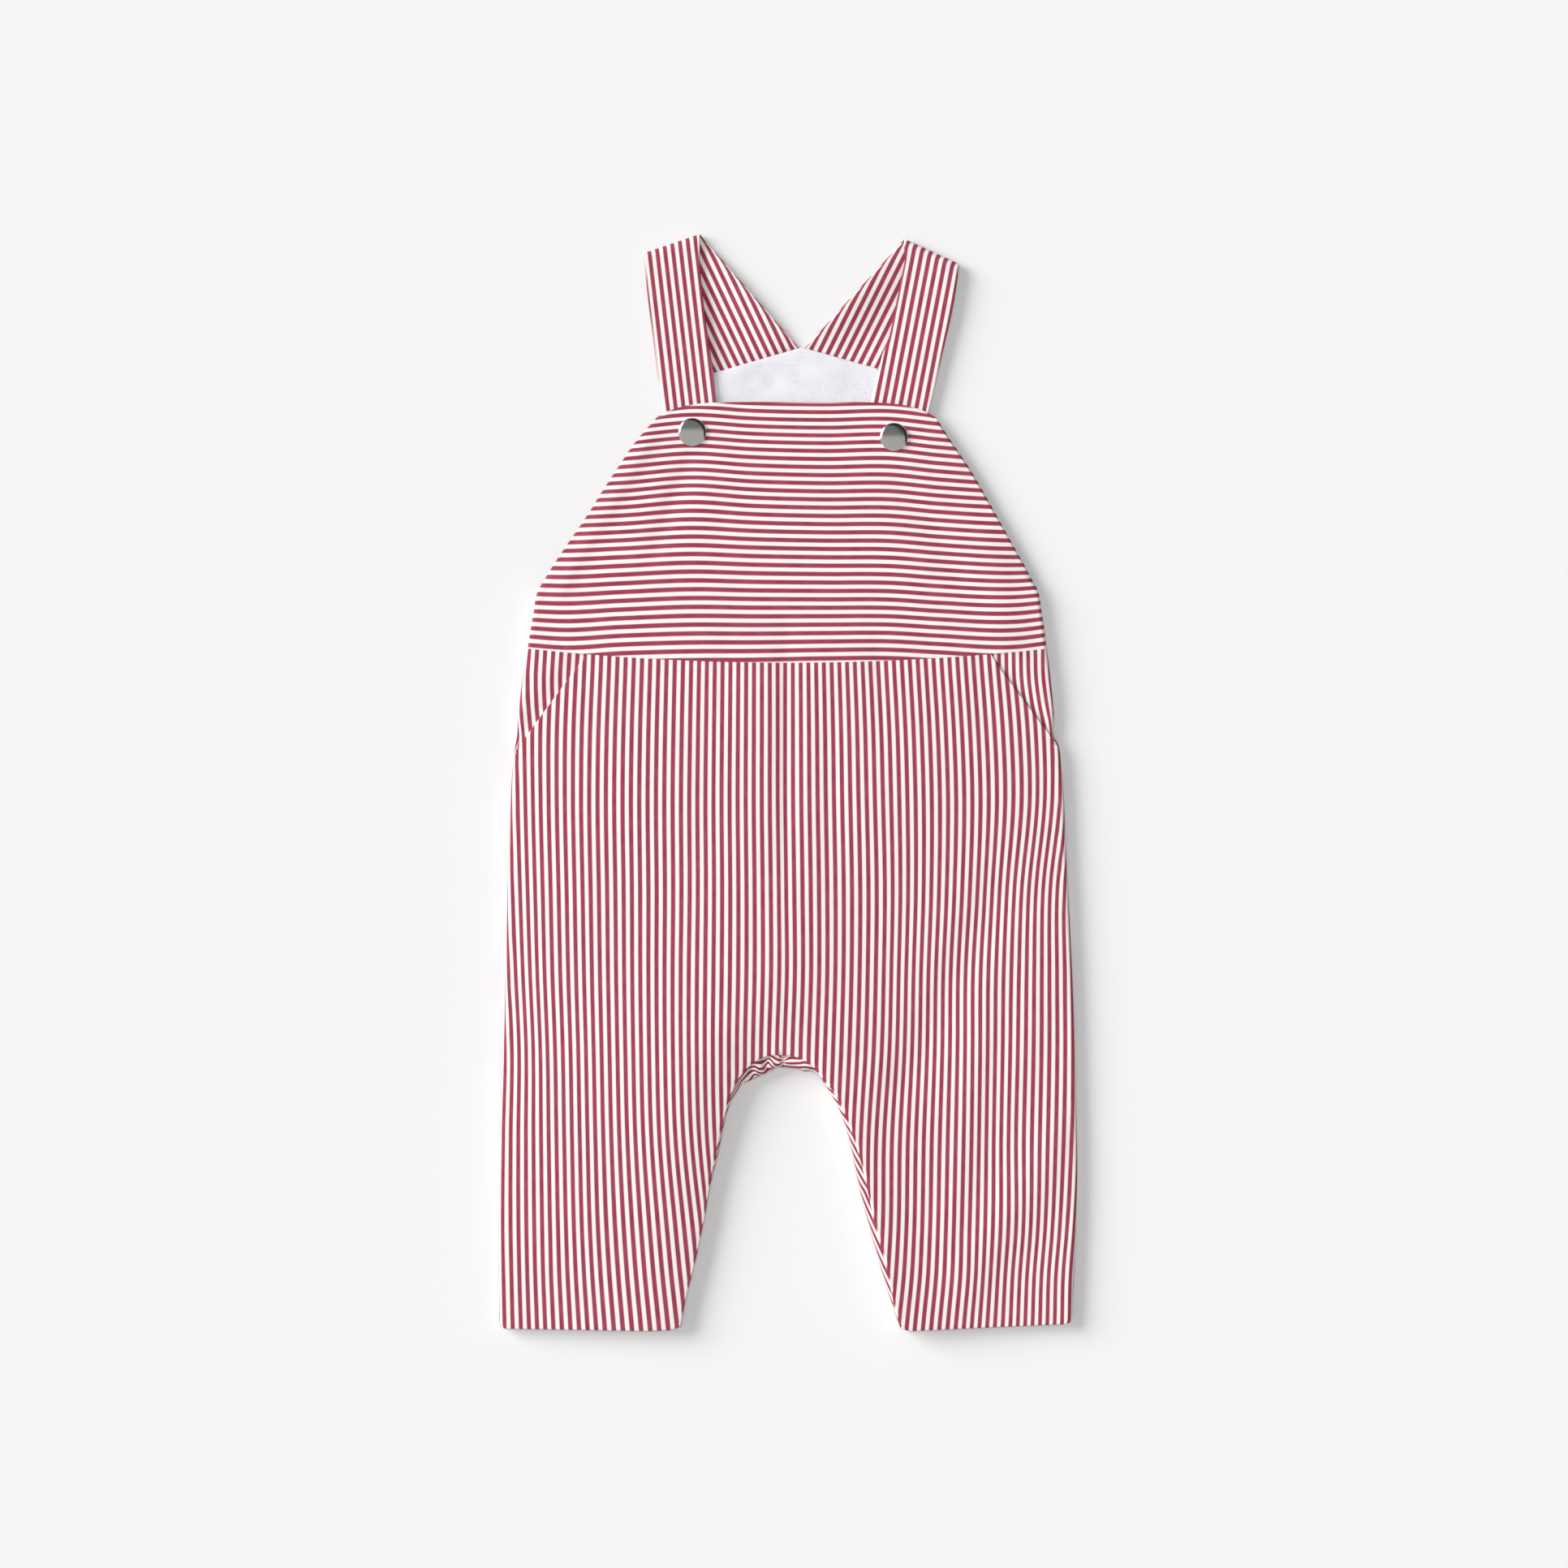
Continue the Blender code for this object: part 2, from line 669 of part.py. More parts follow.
def pocket_facing(side, name):
    """The hip piece that shows outside the slant edge and runs a little way under it."""
    def face_at(sunk):
        depth = WALL + UNDERLAP_GAP + sunk
        grid = []
        for y in (waist_y(WAIST_HALF),) + FACING_ROWS:
            start = front_side_points(side, y, depth)
            end = (side * (min(slant_x(y), half_width(side, y)) - FACING_UNDERLAP), y)
            grid.append(start + [(*point, None) for point in across(start[-1], end, FACING_ACROSS)])
        grid[0] = fit_waist(grid[0])
        return [left_to_right(side, [(x, y, front_height(x, y) - depth if z is None else z)
                                     for x, y, z in row]) for row in grid]

    return wall(name, face_at, LINING_WALL)


# ---- crotch band -----------------------------------------------------------------------------

BAND_STEP = 2.8
# A pucker starts this far round the roll, and it also draws the edge back by a share of its depth.
PUCKER_START = 60
PUCKER_RUN = 90
PUCKER_DRAW = 1 / 3


def crotch_band():
    """The gathered band round the crotch arch, with its puckers as dips in its rolled edge."""
    count = round((BAND_LEFT + BAND_RIGHT) / BAND_STEP)

    def face_at(sunk):
        grid = []
        for k in range(count + 1):
            travel = mix(-BAND_LEFT + HALF_GAP, BAND_RIGHT - HALF_GAP, k / count)
            dip = sum(p.depth * math.exp(-(((travel - p.travel) / p.width) ** 2))
                      for p in PUCKERS)
            foot = (*inseam_at(travel, ROLL_FOOT - BAND_FOOT_GAP), sunk)
            turns = (0,) + ROLL_TURNS + (180,)
            row = []
            for (x, y, z), turn in zip([foot] + roll_points(travel, sunk), turns):
                share = ease((turn - PUCKER_START) / PUCKER_RUN)
                row.append((x, y + dip * share * PUCKER_DRAW, z - dip * share))
            grid.append(row)
        return [list(column) for column in zip(*grid)][::-1]

    return wall("crotch_band", face_at)


# ---- straps ----------------------------------------------------------------------------------

STRAP_ACROSS = 3
BACK_STEPS = 5
FOLD_STEPS = 6
FRONT_STEPS = 6


def strap_rows(strap, sunk):
    """Both ends and the height of each row, from the back seam round the fold to the tucked end."""
    fold = (np.array(strap.fold_left), np.array(strap.fold_right))
    line = (fold[1] - fold[0]) / np.linalg.norm(fold[1] - fold[0])
    out = np.array([-line[1], line[0]])
    back_ends = (np.array(strap.back_left), np.array(strap.back_right))
    bib_ends = (np.array(strap.bib_left), np.array(strap.bib_right))

    def runs_to(ends):
        """Unit directions of both strap edges away from the fold."""
        return [(end - start) / np.linalg.norm(end - start) for start, end in zip(fold, ends)]

    def inside_fold(ends):
        """Both strap edges one fold radius inside the fold line."""
        return [start + run * STRAP_FOLD_RADIUS / abs(float(run @ out))
                for start, run in zip(fold, runs_to(ends))]

    def row_between(starts, ends, share, z):
        return mix(starts[0], ends[0], share), mix(starts[1], ends[1], share), z

    back, front = inside_fold(back_ends), inside_fold(bib_ends)
    rows = [row_between(back_ends, back, k / BACK_STEPS, sunk) for k in range(BACK_STEPS)]
    radius = STRAP_FOLD_RADIUS - sunk
    for k in range(FOLD_STEPS + 1):
        turn = math.pi * k / FOLD_STEPS
        left, right, z = row_between(back, front, k / FOLD_STEPS,
                                     STRAP_FOLD_RADIUS - radius * math.cos(turn))
        push = out * radius * math.sin(turn)
        rows.append((left + push, right + push, z))
    for k in range(1, FRONT_STEPS + 1):
        share = k / FRONT_STEPS
        z = mix(2 * STRAP_FOLD_RADIUS, STRAP_FRONT_Z, ease(share)) - sunk
        rows.append(row_between(front, bib_ends, share, z))
    for tuck in (STRAP_TUCK / 2, STRAP_TUCK):
        left, right = (end + run * tuck for end, run in zip(bib_ends, runs_to(bib_ends)))
        rows.append((left, right, STRAP_FRONT_Z - sunk))
    return rows


def strap_piece(strap):
    """A strap: flat behind, folded over at the shoulder, its front end behind the bib."""
    def face_at(sunk):
        return [[(*mix(left, right, k / STRAP_ACROSS), z) for k in range(STRAP_ACROSS + 1)]
                for left, right, z in strap_rows(strap, sunk)]

    return wall(strap.name, face_at)


# ---- metal caps ------------------------------------------------------------------------------

CapPoint = namedtuple("CapPoint", "radius height")
CAP_PROFILE = (
    CapPoint(0.0, 0.0),
    CapPoint(6.8, 0.0),
    CapPoint(CAP_RADIUS, 0.6),
    CapPoint(CAP_RADIUS, 1.3),
    CapPoint(7.1, 1.7),
    CapPoint(6.6, 1.65),
    CapPoint(4.0, 1.95),
    CapPoint(0.0, 2.1),
)


def cap_mesh():
    """A shallow domed cap with a thin rim, turned round its own Z axis."""
    shape = bmesh.new()
    profile = [shape.verts.new((p.radius * MM, 0, p.height * MM)) for p in CAP_PROFILE]
    edges = [shape.edges.new(pair) for pair in zip(profile, profile[1:])]
    bmesh.ops.spin(shape, geom=profile + edges, axis=(0, 0, 1), cent=(0, 0, 0),
                   angle=2 * math.pi, steps=CAP_SEGMENTS, use_merge=True)
    bmesh.ops.remove_doubles(shape, verts=shape.verts, dist=0.00001)
    bmesh.ops.recalc_face_normals(shape, faces=shape.faces)
    mesh = bpy.data.meshes.new("cap")
    shape.to_mesh(mesh)
    shape.free()
    mesh.shade_smooth()
    mesh.set_sharp_from_angle(angle=CREASE_ANGLE)
    return mesh


def cap(name, x, y):
    """One cap, seated on the bib and tilted with it."""
    step = CAP_REST_RADIUS
    slope_x = (front_height(x + step, y) - front_height(x - step, y)) / (2 * step)
    slope_y = (front_height(x, y + step) - front_height(x, y - step)) / (2 * step)
    normal = Vector((-slope_x, -slope_y, 1)).normalized()
    item = add_object(name, cap_mesh(), POLISHED_METAL, CAP_ROUGHNESS, 1.0)
    item.location = (Vector((x, y, front_height(x, y))) + normal * CAP_SEAT) * MM
    item.rotation_mode = "QUATERNION"
    item.rotation_quaternion = Vector((0, 0, 1)).rotation_difference(normal)
    return item


# ---- the garment -----------------------------------------------------------------------------

def clear_scene():
    for item in list(bpy.data.objects):
        bpy.data.objects.remove(item, do_unlink=True)


def build():
    clear_scene()
    bpy.context.collection.objects.link(bpy.data.objects.new("dungarees", None))
    front_bib()
    back_bib()
    back_lining()
    for side, word in ((-1, "left"), (1, "right")):
        front_leg(side, "front_leg_" + word)
        back_leg(side, "back_leg_" + word)
        pocket_facing(side, "pocket_facing_" + word)
    crotch_band()
    for strap in STRAPS:
        strap_piece(strap)
    for name, x, y in CAPS:
        cap(name, x, y)


build()
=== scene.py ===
"""Toddler dungarees lying flat, front up: striped twill, a jersey lining and two polished caps.

Every piece of cloth is one thin closed shell with rounded edges, which stands in for its solid. Its
face is a grid of points, worked out from the laid outline, the height of the garment, its soft folds
and its creases. Each point also carries its place in the cloth, which the stripes follow.
Lengths are in millimetres here and become metres when a mesh is made. +X points to the right of
the garment as it is seen from above, +Y towards the straps and +Z up from the surface it lies on.
"""
import math
from collections import namedtuple

import bpy
import numpy as np
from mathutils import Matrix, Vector


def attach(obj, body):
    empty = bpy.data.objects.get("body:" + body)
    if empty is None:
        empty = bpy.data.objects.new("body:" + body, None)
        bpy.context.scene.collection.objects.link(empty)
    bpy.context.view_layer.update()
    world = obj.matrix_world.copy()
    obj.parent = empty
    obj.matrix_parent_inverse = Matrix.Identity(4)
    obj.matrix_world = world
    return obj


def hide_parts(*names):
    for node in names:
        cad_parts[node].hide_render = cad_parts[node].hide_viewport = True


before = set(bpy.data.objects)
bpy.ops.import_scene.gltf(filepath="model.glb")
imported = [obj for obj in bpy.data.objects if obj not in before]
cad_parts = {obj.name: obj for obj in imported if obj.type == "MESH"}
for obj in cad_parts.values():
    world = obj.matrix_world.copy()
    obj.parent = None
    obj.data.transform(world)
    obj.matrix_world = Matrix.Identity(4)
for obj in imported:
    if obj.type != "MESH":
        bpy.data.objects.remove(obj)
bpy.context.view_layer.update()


def table(columns, *rows):
    """Rows whose values have the names of their columns."""
    row = namedtuple("Row", columns)
    return tuple(row(*values) for values in rows)


Face = namedtuple("Face", "points cloth")

MM = 0.001

# Cloth and seams.
WALL = 1.2
LINING_WALL = 1.0
HALF_GAP = 0.02
UNDERLAP_GAP = 0.15
PITCH = 4.5
RIM_STEPS = 5
PRESSED_REACH = 1.0
PRESSED_RIM = 0.03

# The rolled side edge: the front and back walls meet half way up it. Of the squareness of a roll,
# 1 is round and less is squarer.
SIDE_RADIUS = 4.0
SIDE_SQUARENESS = 0.35
SEAM_Z = SIDE_RADIUS
SHOULDER_Z = 2 * SIDE_RADIUS
SHOULDER_REACH = 120.0
UNDERARM_Y = 102.0
UNDERARM_FADE = 16.0

# The rolled inseam edge, which the edge of the front leg lies on. It is round at the crotch band and
# pressed squarer along the legs, and each mm on its top holds INSEAM_SQUEEZE mm of cloth.
ROLL_RADIUS = 2.8
ROLL_FOOT = 6.3
BAND_FOOT_GAP = 0.45
LIP_LENGTH = 5.0
INSEAM_Z = 7.1
INSEAM_REACH = {-1: 30.0, 1: 80.0}
INSEAM_SQUEEZE = 1.9
CROTCH_Y = -152.0
CROTCH_LIFT = 6.0
CROTCH_REACH = 52.0
LEG_LIFTS = {-1: 1.6, 1: 5.5}
LEG_LIFT_RUN = 24.0
PRESSED_SQUARENESS = 0.5
PRESSED_RUN = 20.0

# Seams and openings on the front.
CENTRE_X = -3.5
WAIST_MID_Y = 64.2
WAIST_RISE = 7.7
WAIST_HALF = 140.0
BIB_EDGE_Y = 195.5
BIB_TOP_RISE = 8.4
BIB_TOP_FLATNESS = 6
BIB_FREE_REACH = 70.0
FACING_UNDERLAP = 12.0
FACING_END_Y = 6.0
FACING_RISE_REACH = 14.0

# Back bib and the caps.
PEAK_X = 7.4
PEAK_Y = 232.5
LINING_OVERHANG = 0.8
LINING_INSET = 10.0
LINING_TOP = 2.5
CAP_REST_RADIUS = 6.0
CAP_SEAT = 0.45
CAP_SEGMENTS = 96

# Straps.
STRAP_FOLD_RADIUS = 3.2
STRAP_FRONT_Z = 5.2
STRAP_TUCK = 28.0
STRAP_LIFT = 4.0
STRAP_LIFT_FULLNESS = 0.6

# Crotch band: how far it runs from the centre seam along the arch, to each side.
BAND_ENDS = {-1: 33.0, 1: 24.0}

# The slant pocket edges, by side: where they leave the waist seam and reach the side seam.
Slant = namedtuple("Slant", "top_x end_y")
SLANTS = {-1: Slant(108.0, 16.0), 1: Slant(108.5, 20.0)}

# The front outline as it lies, hem to the corners of the bib.
FRONT_OUTLINE = table(
    "y left right",
    (-294.0, -152.4, 149.4),
    (-291.5, -153.9, 150.9),
    (-288.0, -154.5, 151.6),
    (-280.0, -154.7, 152.2),
    (-254.7, -154.9, 153.4),
    (-211.2, -154.5, 154.9),
    (-167.7, -153.6, 154.2),
    (-124.2, -151.9, 153.2),
    (-80.7, -150.9, 151.2),
    (-37.2, -149.6, 148.9),
    (6.3, -147.6, 146.6),
    (19.0, -146.4, 145.2),
    (25.0, -145.2, 143.4),
    (32.4, -144.9, 142.8),
    (58.5, -141.8, 140.3),
    (71.6, -139.6, 138.5),
    (91.1, -136.4, 135.9),
    (104.2, -133.6, 133.4),
    (110.7, -129.8, 130.0),
    (123.8, -121.4, 122.7),
    (143.3, -107.9, 111.8),
    (156.4, -99.6, 104.4),
    (169.4, -90.9, 96.6),
    (182.5, -81.8, 87.6),
    (195.5, -70.5, 79.2),
)

# The back bib follows the front up to the underarm and is narrower above it.
BACK_BIB_OUTLINE = table(
    "y left right",
    (64.0, -140.7, 139.4),
    (78.0, -138.6, 137.8),
    (91.1, -136.4, 135.9),
    (102.0, -133.0, 132.8),
    (112.0, -122.0, 123.0),
    (126.0, -105.0, 108.0),
    (145.0, -84.0, 89.0),
    (165.0, -67.5, 72.5),
    (185.0, -55.0, 61.0),
    (205.0, -45.0, 53.0),
    (218.6, -39.6, 49.0),
    (221.5, -38.8, 48.1),
)

# Height of the front's outer face: in the middle of the garment, on its flatter right half, and at
# the bib's free side edges.
LAID_HEIGHT = table(
    "y top right_top free_edge",
    (-294.0, 10.4, 9.2, 8.0),
    (-230.0, 11.4, 9.0, 8.0),
    (-180.0, 13.8, 9.2, 8.0),
    (-140.0, 16.2, 10.4, 8.0),
    (-70.0, 13.8, 11.2, 8.0),
    (0.0, 12.8, 12.0, 8.0),
    (75.0, 12.2, 12.0, 7.0),
    (118.0, 9.8, 9.8, 6.4),
    (150.0, 8.4, 8.4, 6.2),
    (170.0, 7.9, 7.9, 6.4),
    (185.0, 7.5, 7.5, 6.6),
    (205.0, 6.7, 6.7, 6.7),
)
FLATTER_FROM = -30.0
FLATTER_RUN = 100.0

# The inseam fold from the left hem over the crotch to the right hem. "show" is how far the edge of
# the front leg is set back from it, which leaves the back leg or the crotch band in sight.
INSEAM = table(
    "x y show",
    (-57.4, -291.6, 0.0),
    (-55.7, -280.8, 0.0),
    (-49.6, -255.6, 0.0),
    (-44.6, -232.0, 0.0),
    (-40.9, -212.5, 0.4),
    (-37.0, -196.8, 1.1),
    (-33.9, -181.5, 0.8),
    (-30.0, -169.3, 1.2),
    (-24.2, -161.2, 3.6),
    (-16.5, -156.4, 6.4),
    (-8.3, -152.8, 7.0),
    (-1.5, -151.6, 6.0),
    (6.0, -152.2, 4.6),
    (12.4, -154.4, 2.4),
    (17.4, -158.6, 0.7),
    (22.2, -165.2, 1.6),
    (27.6, -175.4, 1.5),
    (31.7, -187.2, 2.0),
    (35.2, -203.0, 3.6),
    (39.0, -221.0, 4.0),
    (44.1, -239.8, 3.0),
    (50.2, -261.6, 2.8),
    (55.0, -277.4, 1.2),
    (58.6, -288.0, 0.0),
    (59.9, -292.3, 0.0),
)

# How far the back leg's stripes have leant over on their way down the inseam fold.
INSEAM_LEANS = table(
    "y over",
    (-292.0, 29.0),
    (-222.0, 27.0),
    (-152.0, 0.0),
)

# The hem edges, left leg and right leg.
HEMS = table(
    "x y",
    (-154.5, -291.4),
    (-151.0, -292.2),
    (-110.0, -292.8),
    (-76.0, -293.4),
    (-64.0, -293.0),
    (-60.0, -292.2),
    (-57.4, -290.6),
    (59.9, -291.4),
    (62.5, -292.6),
    (66.0, -293.3),
    (100.0, -291.8),
    (148.0, -289.8),
    (151.6, -288.8),
)

# The largest soft folds of the front: a ridge, or a trough where the height is below zero.
FRONT_FOLDS = table(
    "x0 y0 x1 y1 width height",
    (112, -58, 66, -158, 12, -1.1),
    (103, -140, 85, -240, 8, 0.8),
    (152, -186, 96, -262, 14, 1.4),
    (107, 128, 113, 76, 13, 0.9),
    (-124, 102, -75, 184, 5, 1.3),
)
FOLD_EDGE_FADE = 16.0

# Creases of the front, each fading out at both ends and bowed sideways in its middle.
CREASE = "x0 y0 x1 y1 bow width height"
FRONT_CREASES = table(
    CREASE,
    (-44, 190, -75, 108, -2, 5.5, -1.2),
    (-34, 160, -40, 110, 1, 5, -0.35),
    (50, 176, 110, 82, 2, 7, -0.80),
    (-66, 109, 42, 102, 1, 3, -0.20),
    (-0.8, 100, -0.6, -66, 0.5, 5.5, -1.3),
    (-33, 96, -36, 24, 1, 4, -0.45),
    (-46, 46, -45, -54, 2, 6, -0.40),
    (26, 84, 25, -84, -2, 6, -0.65),
    (47, 94, 51, 18, 0, 4, -0.45),
    (76, 88, 81, 28, 0, 4, -0.30),
    (102, 88, 109, 8, -1, 5, -0.45),
    (-108, 76, -104, 24, 0, 4.5, -0.30),
    (-122, 10, -112, -120, 3, 9, 0.30),
    (-78, -40, -70, -150, -3, 9, 0.30),
    (-16, -48, -22, -130, 2, 7, -0.30),
    (150, -50, 104, -82, 1, 4, -0.45),
    (62, -128, 46, -214, 3, 7, -0.40),
    (140, -98, 118, -186, -3, 9, 0.50),
    (-20, -148, -58, -122, 3, 3.4, 0.35),
    (20, -155, 62, -140, 3, 4.6, -0.30),
    (-120, -228, -92, -286, 3, 8, 0.45),
)

# Creases of the back, which lift it off the surface.
BACK_CREASES = table(
    CREASE,
    (-120, -40, -60, -92, 6, 7, 0.8),
    (112, -30, 52, -84, -7, 6.5, 0.9),
    (-36, -140, -84, -118, 4, 5, 0.7),
    (30, -138, 80, -122, -4, 5.5, 0.7),
    (-126, -196, -74, -224, 5, 6, 0.8),
    (124, -188, 82, -228, -5, 6, 0.7),
    (-98, 96, -40, 122, 5, 6, 0.6),
    (94, 88, 30, 116, -6, 6.5, 0.6),
)

# Creases of the lining where it lies between the straps.
LINING_CREASES = table(
    CREASE,
    (-40, 213, -10, 225, 1.5, 4, 0.5),
    (-18, 204, -2, 222, -1, 5, -0.4),
    (6, 226, 30, 208, 1, 5, 0.5),
    (28, 218, 47, 207, 0, 4, -0.4),
)

# Puckers of the gathered crotch band, by their place along the arch.
PUCKERS = table(
    "travel width depth",
    (-23.0, 2.4, 2.0),
    (-17.0, 1.8, 1.7),
    (-8.0, 1.3, 2.8),
    (0.6, 0.9, 1.6),
    (16.8, 1.6, 1.6),
)

# Round the band's fold, the puckers and rumples grow in from a turn, over a run, in degrees.
PUCKER_START = 60
PUCKER_RUN = 90
PUCKER_DRAW = 1 / 4
RUMPLE_DEPTH = 1.3
RUMPLE_SHARPNESS = 4
RUMPLE_END_X = -7.0
RUMPLE_FADE = 4.0

# The band across the garment: how far its fold stands out, and where its five red stripes run.
BAND_STRIPES = ("first", "second", "third", "fourth", "fifth")
BAND_PLACES = table(
    ["x", "out", *BAND_STRIPES],
    (-30.5, 0.0, -171.5, -169.0, -167.0, -165.3, -164.0),
    (-28.3, 0.2, -168.3, -165.7, -163.7, -162.0, -160.7),
    (-23.9, 0.0, -162.0, -158.5, -155.7, -153.4, -150.7),
    (-20.6, 0.9, -160.0, -155.0, -152.5, -150.4, -148.0),
    (-18.0, 1.0, -156.3, -153.9, -151.9, -149.6, -147.2),
    (-15.0, 1.1, -156.9, -155.3, -153.3, -149.6, -147.4),
    (-12.6, 1.4, -157.4, -155.1, -152.7, -149.3, -147.0),
    (-10.6, 1.4, -156.7, -154.0, -149.4, -147.5, -145.7),
    (-9.0, 1.0, -155.4, -152.9, -151.7, -148.2, -146.2),
    (-7.3, 0.2, -156.7, -154.7, -153.1, -150.4, -147.2),
    (-5.0, 0.0, -156.7, -154.7, -153.0, -151.0, -148.3),
    (-3.0, 0.6, -156.0, -154.0, -151.7, -149.9, -148.7),
    (1.0, 1.0, -156.0, -154.0, -151.9, -150.2, -147.1),
    (6.0, 0.9, -156.2, -154.1, -152.4, -149.9, -147.4),
    (9.7, 1.3, -156.4, -154.3, -152.2, -149.6, -147.0),
    (12.7, -0.2, -157.0, -155.0, -153.0, -150.7, -148.0),
    (16.0, -0.9, -158.7, -156.7, -154.7, -152.4, -150.0),
    (20.0, -0.2, -163.0, -160.8, -158.8, -156.6, -154.4),
)

# A strap's stripes behind and in front of its fold: a place on the middle of a red one, how far it
# runs to the side for each mm downwards, and how far apart they are.
StripeLine = namedtuple("StripeLine", "x y lean pitch")
STRAPS = table(
    "name back_left back_right fold_left fold_right bib_left bib_right outer_side "
    "back_stripe front_stripe",
    ("strap_left", (-39.6, 218.9), (6.0, 232.8), (-77.4, 283.7), (-47.5, 293.9),
     (-66.6, 199.9), (-38.3, 204.2), -1,
     StripeLine(-27.4, 234.7, 0.475, 4.31), StripeLine(-69.7, 245.6, 0.118, 4.2)),
    ("strap_right", (8.9, 232.9), (48.3, 221.0), (62.5, 291.3), (91.8, 277.9),
     (43.9, 204.2), (75.7, 197.7), 1,
     StripeLine(38.5, 234.7, -0.50, 4.46), StripeLine(83.5, 254.3, -0.194, 4.34)),
)

# How far the front edges of the straps stand outside their straight lines, from fold to bib.
STRAP_EDGES = table(
    "share left_outer left_inner right_outer right_inner",
    (0.0, 0.0, 0.0, 0.0, 0.0),
    (0.06, 0.2, -0.7, 0.5, -1.9),
    (0.18, 0.7, -1.4, 1.0, -2.5),
    (0.35, 0.9, -1.6, 1.1, -2.7),
    (0.50, 0.8, -1.4, 0.7, -2.8),
    (0.58, 0.8, -1.1, 0.5, -2.7),
    (0.66, 0.8, -0.8, 0.3, -1.5),
    (0.80, 0.8, -0.2, 0.0, -0.9),
    (0.90, 0.4, -0.1, -0.3, -0.5),
    (1.0, 0.0, 0.0, -0.6, -0.4),
)

CAPS = table("name x y", ("button_left", -51.3, 187.7), ("button_right", 56.6, 185.1))

# Where chosen red stripes run down the legs: their place across at ten heights.
LEG_HEIGHTS = {"hem": -286.9, "cuff": -263.8, "calf": -241.6, "knee": -189.4, "crotch": -141.6,
               "rise": -102.4, "thigh": -58.9, "hip": -6.7, "pocket": 28.1, "waist": 62.9}
LEG_STRIPES = table(
    ["number", *LEG_HEIGHTS],
    (-36, -151.8, -152.3, -152.7, -152.5, -151.6, -153.5, -155.5, -157.0, -158.0, -157.0),
    (-30, -125.8, -126.8, -127.3, -128.1, -128.8, -130.3, -131.3, -132.5, -132.6, -131.0),
    (-24, -98.5, -100.3, -101.6, -103.1, -104.0, -104.9, -105.6, -106.4, -105.9, -104.5),
    (-12, -40.5, -43.5, -46.0, -51.7, -53.1, -53.1, -52.6, -52.8, -52.4, -51.8),
    (-1, -2.6, -3.3, -3.9, -6.0, -5.9, -4.7, -4.9, -5.5, -5.5, -5.6),
    (0, 1.0, 0.5, 0.0, -2.0, -2.0, -0.7, -1.1, -1.7, -1.7, -1.6),
    (12, 42.0, 44.6, 46.2, 47.1, 50.2, 51.2, 51.8, 50.7, 49.8, 48.1),
    (24, 94.4, 96.4, 97.0, 98.2, 98.7, 98.9, 101.3, 102.9, 101.6, 99.2),
    (30, 119.1, 120.1, 121.8, 121.9, 122.9, 123.5, 124.9, 129.4, 128.2, 124.9),
    (36, 142.7, 143.3, 145.1, 147.5, 148.3, 148.0, 147.8, 153.5, 153.5, 150.5),
)

# Where chosen red stripes run across the front bib: their height at ten places.
BIB_PLACES = {"left_edge": -138.0, "left_seam": -120.0, "left_side": -90.0, "left_cap": -51.0,
              "left_middle": -20.0, "right_middle": 20.0, "right_cap": 56.0, "right_side": 80.0,
              "right_seam": 125.0, "right_edge": 137.5}
BIB_STRIPES = table(
    ["number", *BIB_PLACES],
    (30, 69.1, 67.6, 69.2, 70.3, 70.4, 71.0, 71.1, 69.8, 68.5, 70.2),
    (24, 96.4, 95.9, 97.3, 98.8, 98.3, 98.1, 97.9, 96.3, 95.3, 96.6),
    (18, 124.8, 124.2, 125.3, 127.1, 125.9, 125.1, 124.8, 122.9, 120.8, 121.2),
    (12, 151.4, 151.0, 151.8, 154.8, 152.7, 151.6, 151.6, 149.4, 147.5, 147.9),
    (6, 177.4, 177.0, 177.6, 180.5, 178.6, 177.6, 178.0, 175.4, 173.0, 173.4),
    (0, 199.4, 199.0, 201.0, 205.2, 203.3, 202.5, 203.0, 200.5, 198.0, 198.4),
)

# Where one red stripe of each pocket facing runs, and how far apart its stripes are.
FACING_STRIPES = table(
    "y left right",
    (6.0, -136.2, 138.6),
    (28.3, -137.9, 133.6),
    (43.6, -139.1, 130.4),
    (56.0, -139.4, 128.8),
    (69.5, -138.7, 128.4),
)
FACING_PITCH = {-1: 4.35, 1: 3.9}


# ---- reading tables ----

def column(rows, name):
    return np.array([getattr(row, name) for row in rows], float)


def curve(places, values, at):
    """Values read on a smooth curve through places. The last axis of both may hold many curves."""
    slopes = np.gradient(values, places)
    index = np.clip(np.searchsorted(places, at) - 1, 0, len(places) - 2)
    span = places[index + 1] - places[index]
    t = (at - places[index]) / span
    start = (2 * t**3 - 3 * t**2 + 1) * values[index] + (t**3 - 2 * t**2 + t) * span * slopes[index]
    end = (3 * t**2 - 2 * t**3) * values[index + 1] + (t**3 - t**2) * span * slopes[index + 1]
    return start + end


def smooth(rows, key, value, at):
    """One named column of a table, read on a smooth curve through its rows."""
    return curve(column(rows, key), column(rows, value), np.asarray(at, float))


def swell(share):
    """0 at an edge, rising like a filled cushion to 1."""
    return 1 - (1 - np.clip(share, 0, 1)) ** 2


def ease(share):
    """0 to 1 with a level start and end."""
    share = np.clip(share, 0, 1)
    return share * share * (3 - 2 * share)


def mix(a, b, share):
    return a + (b - a) * share


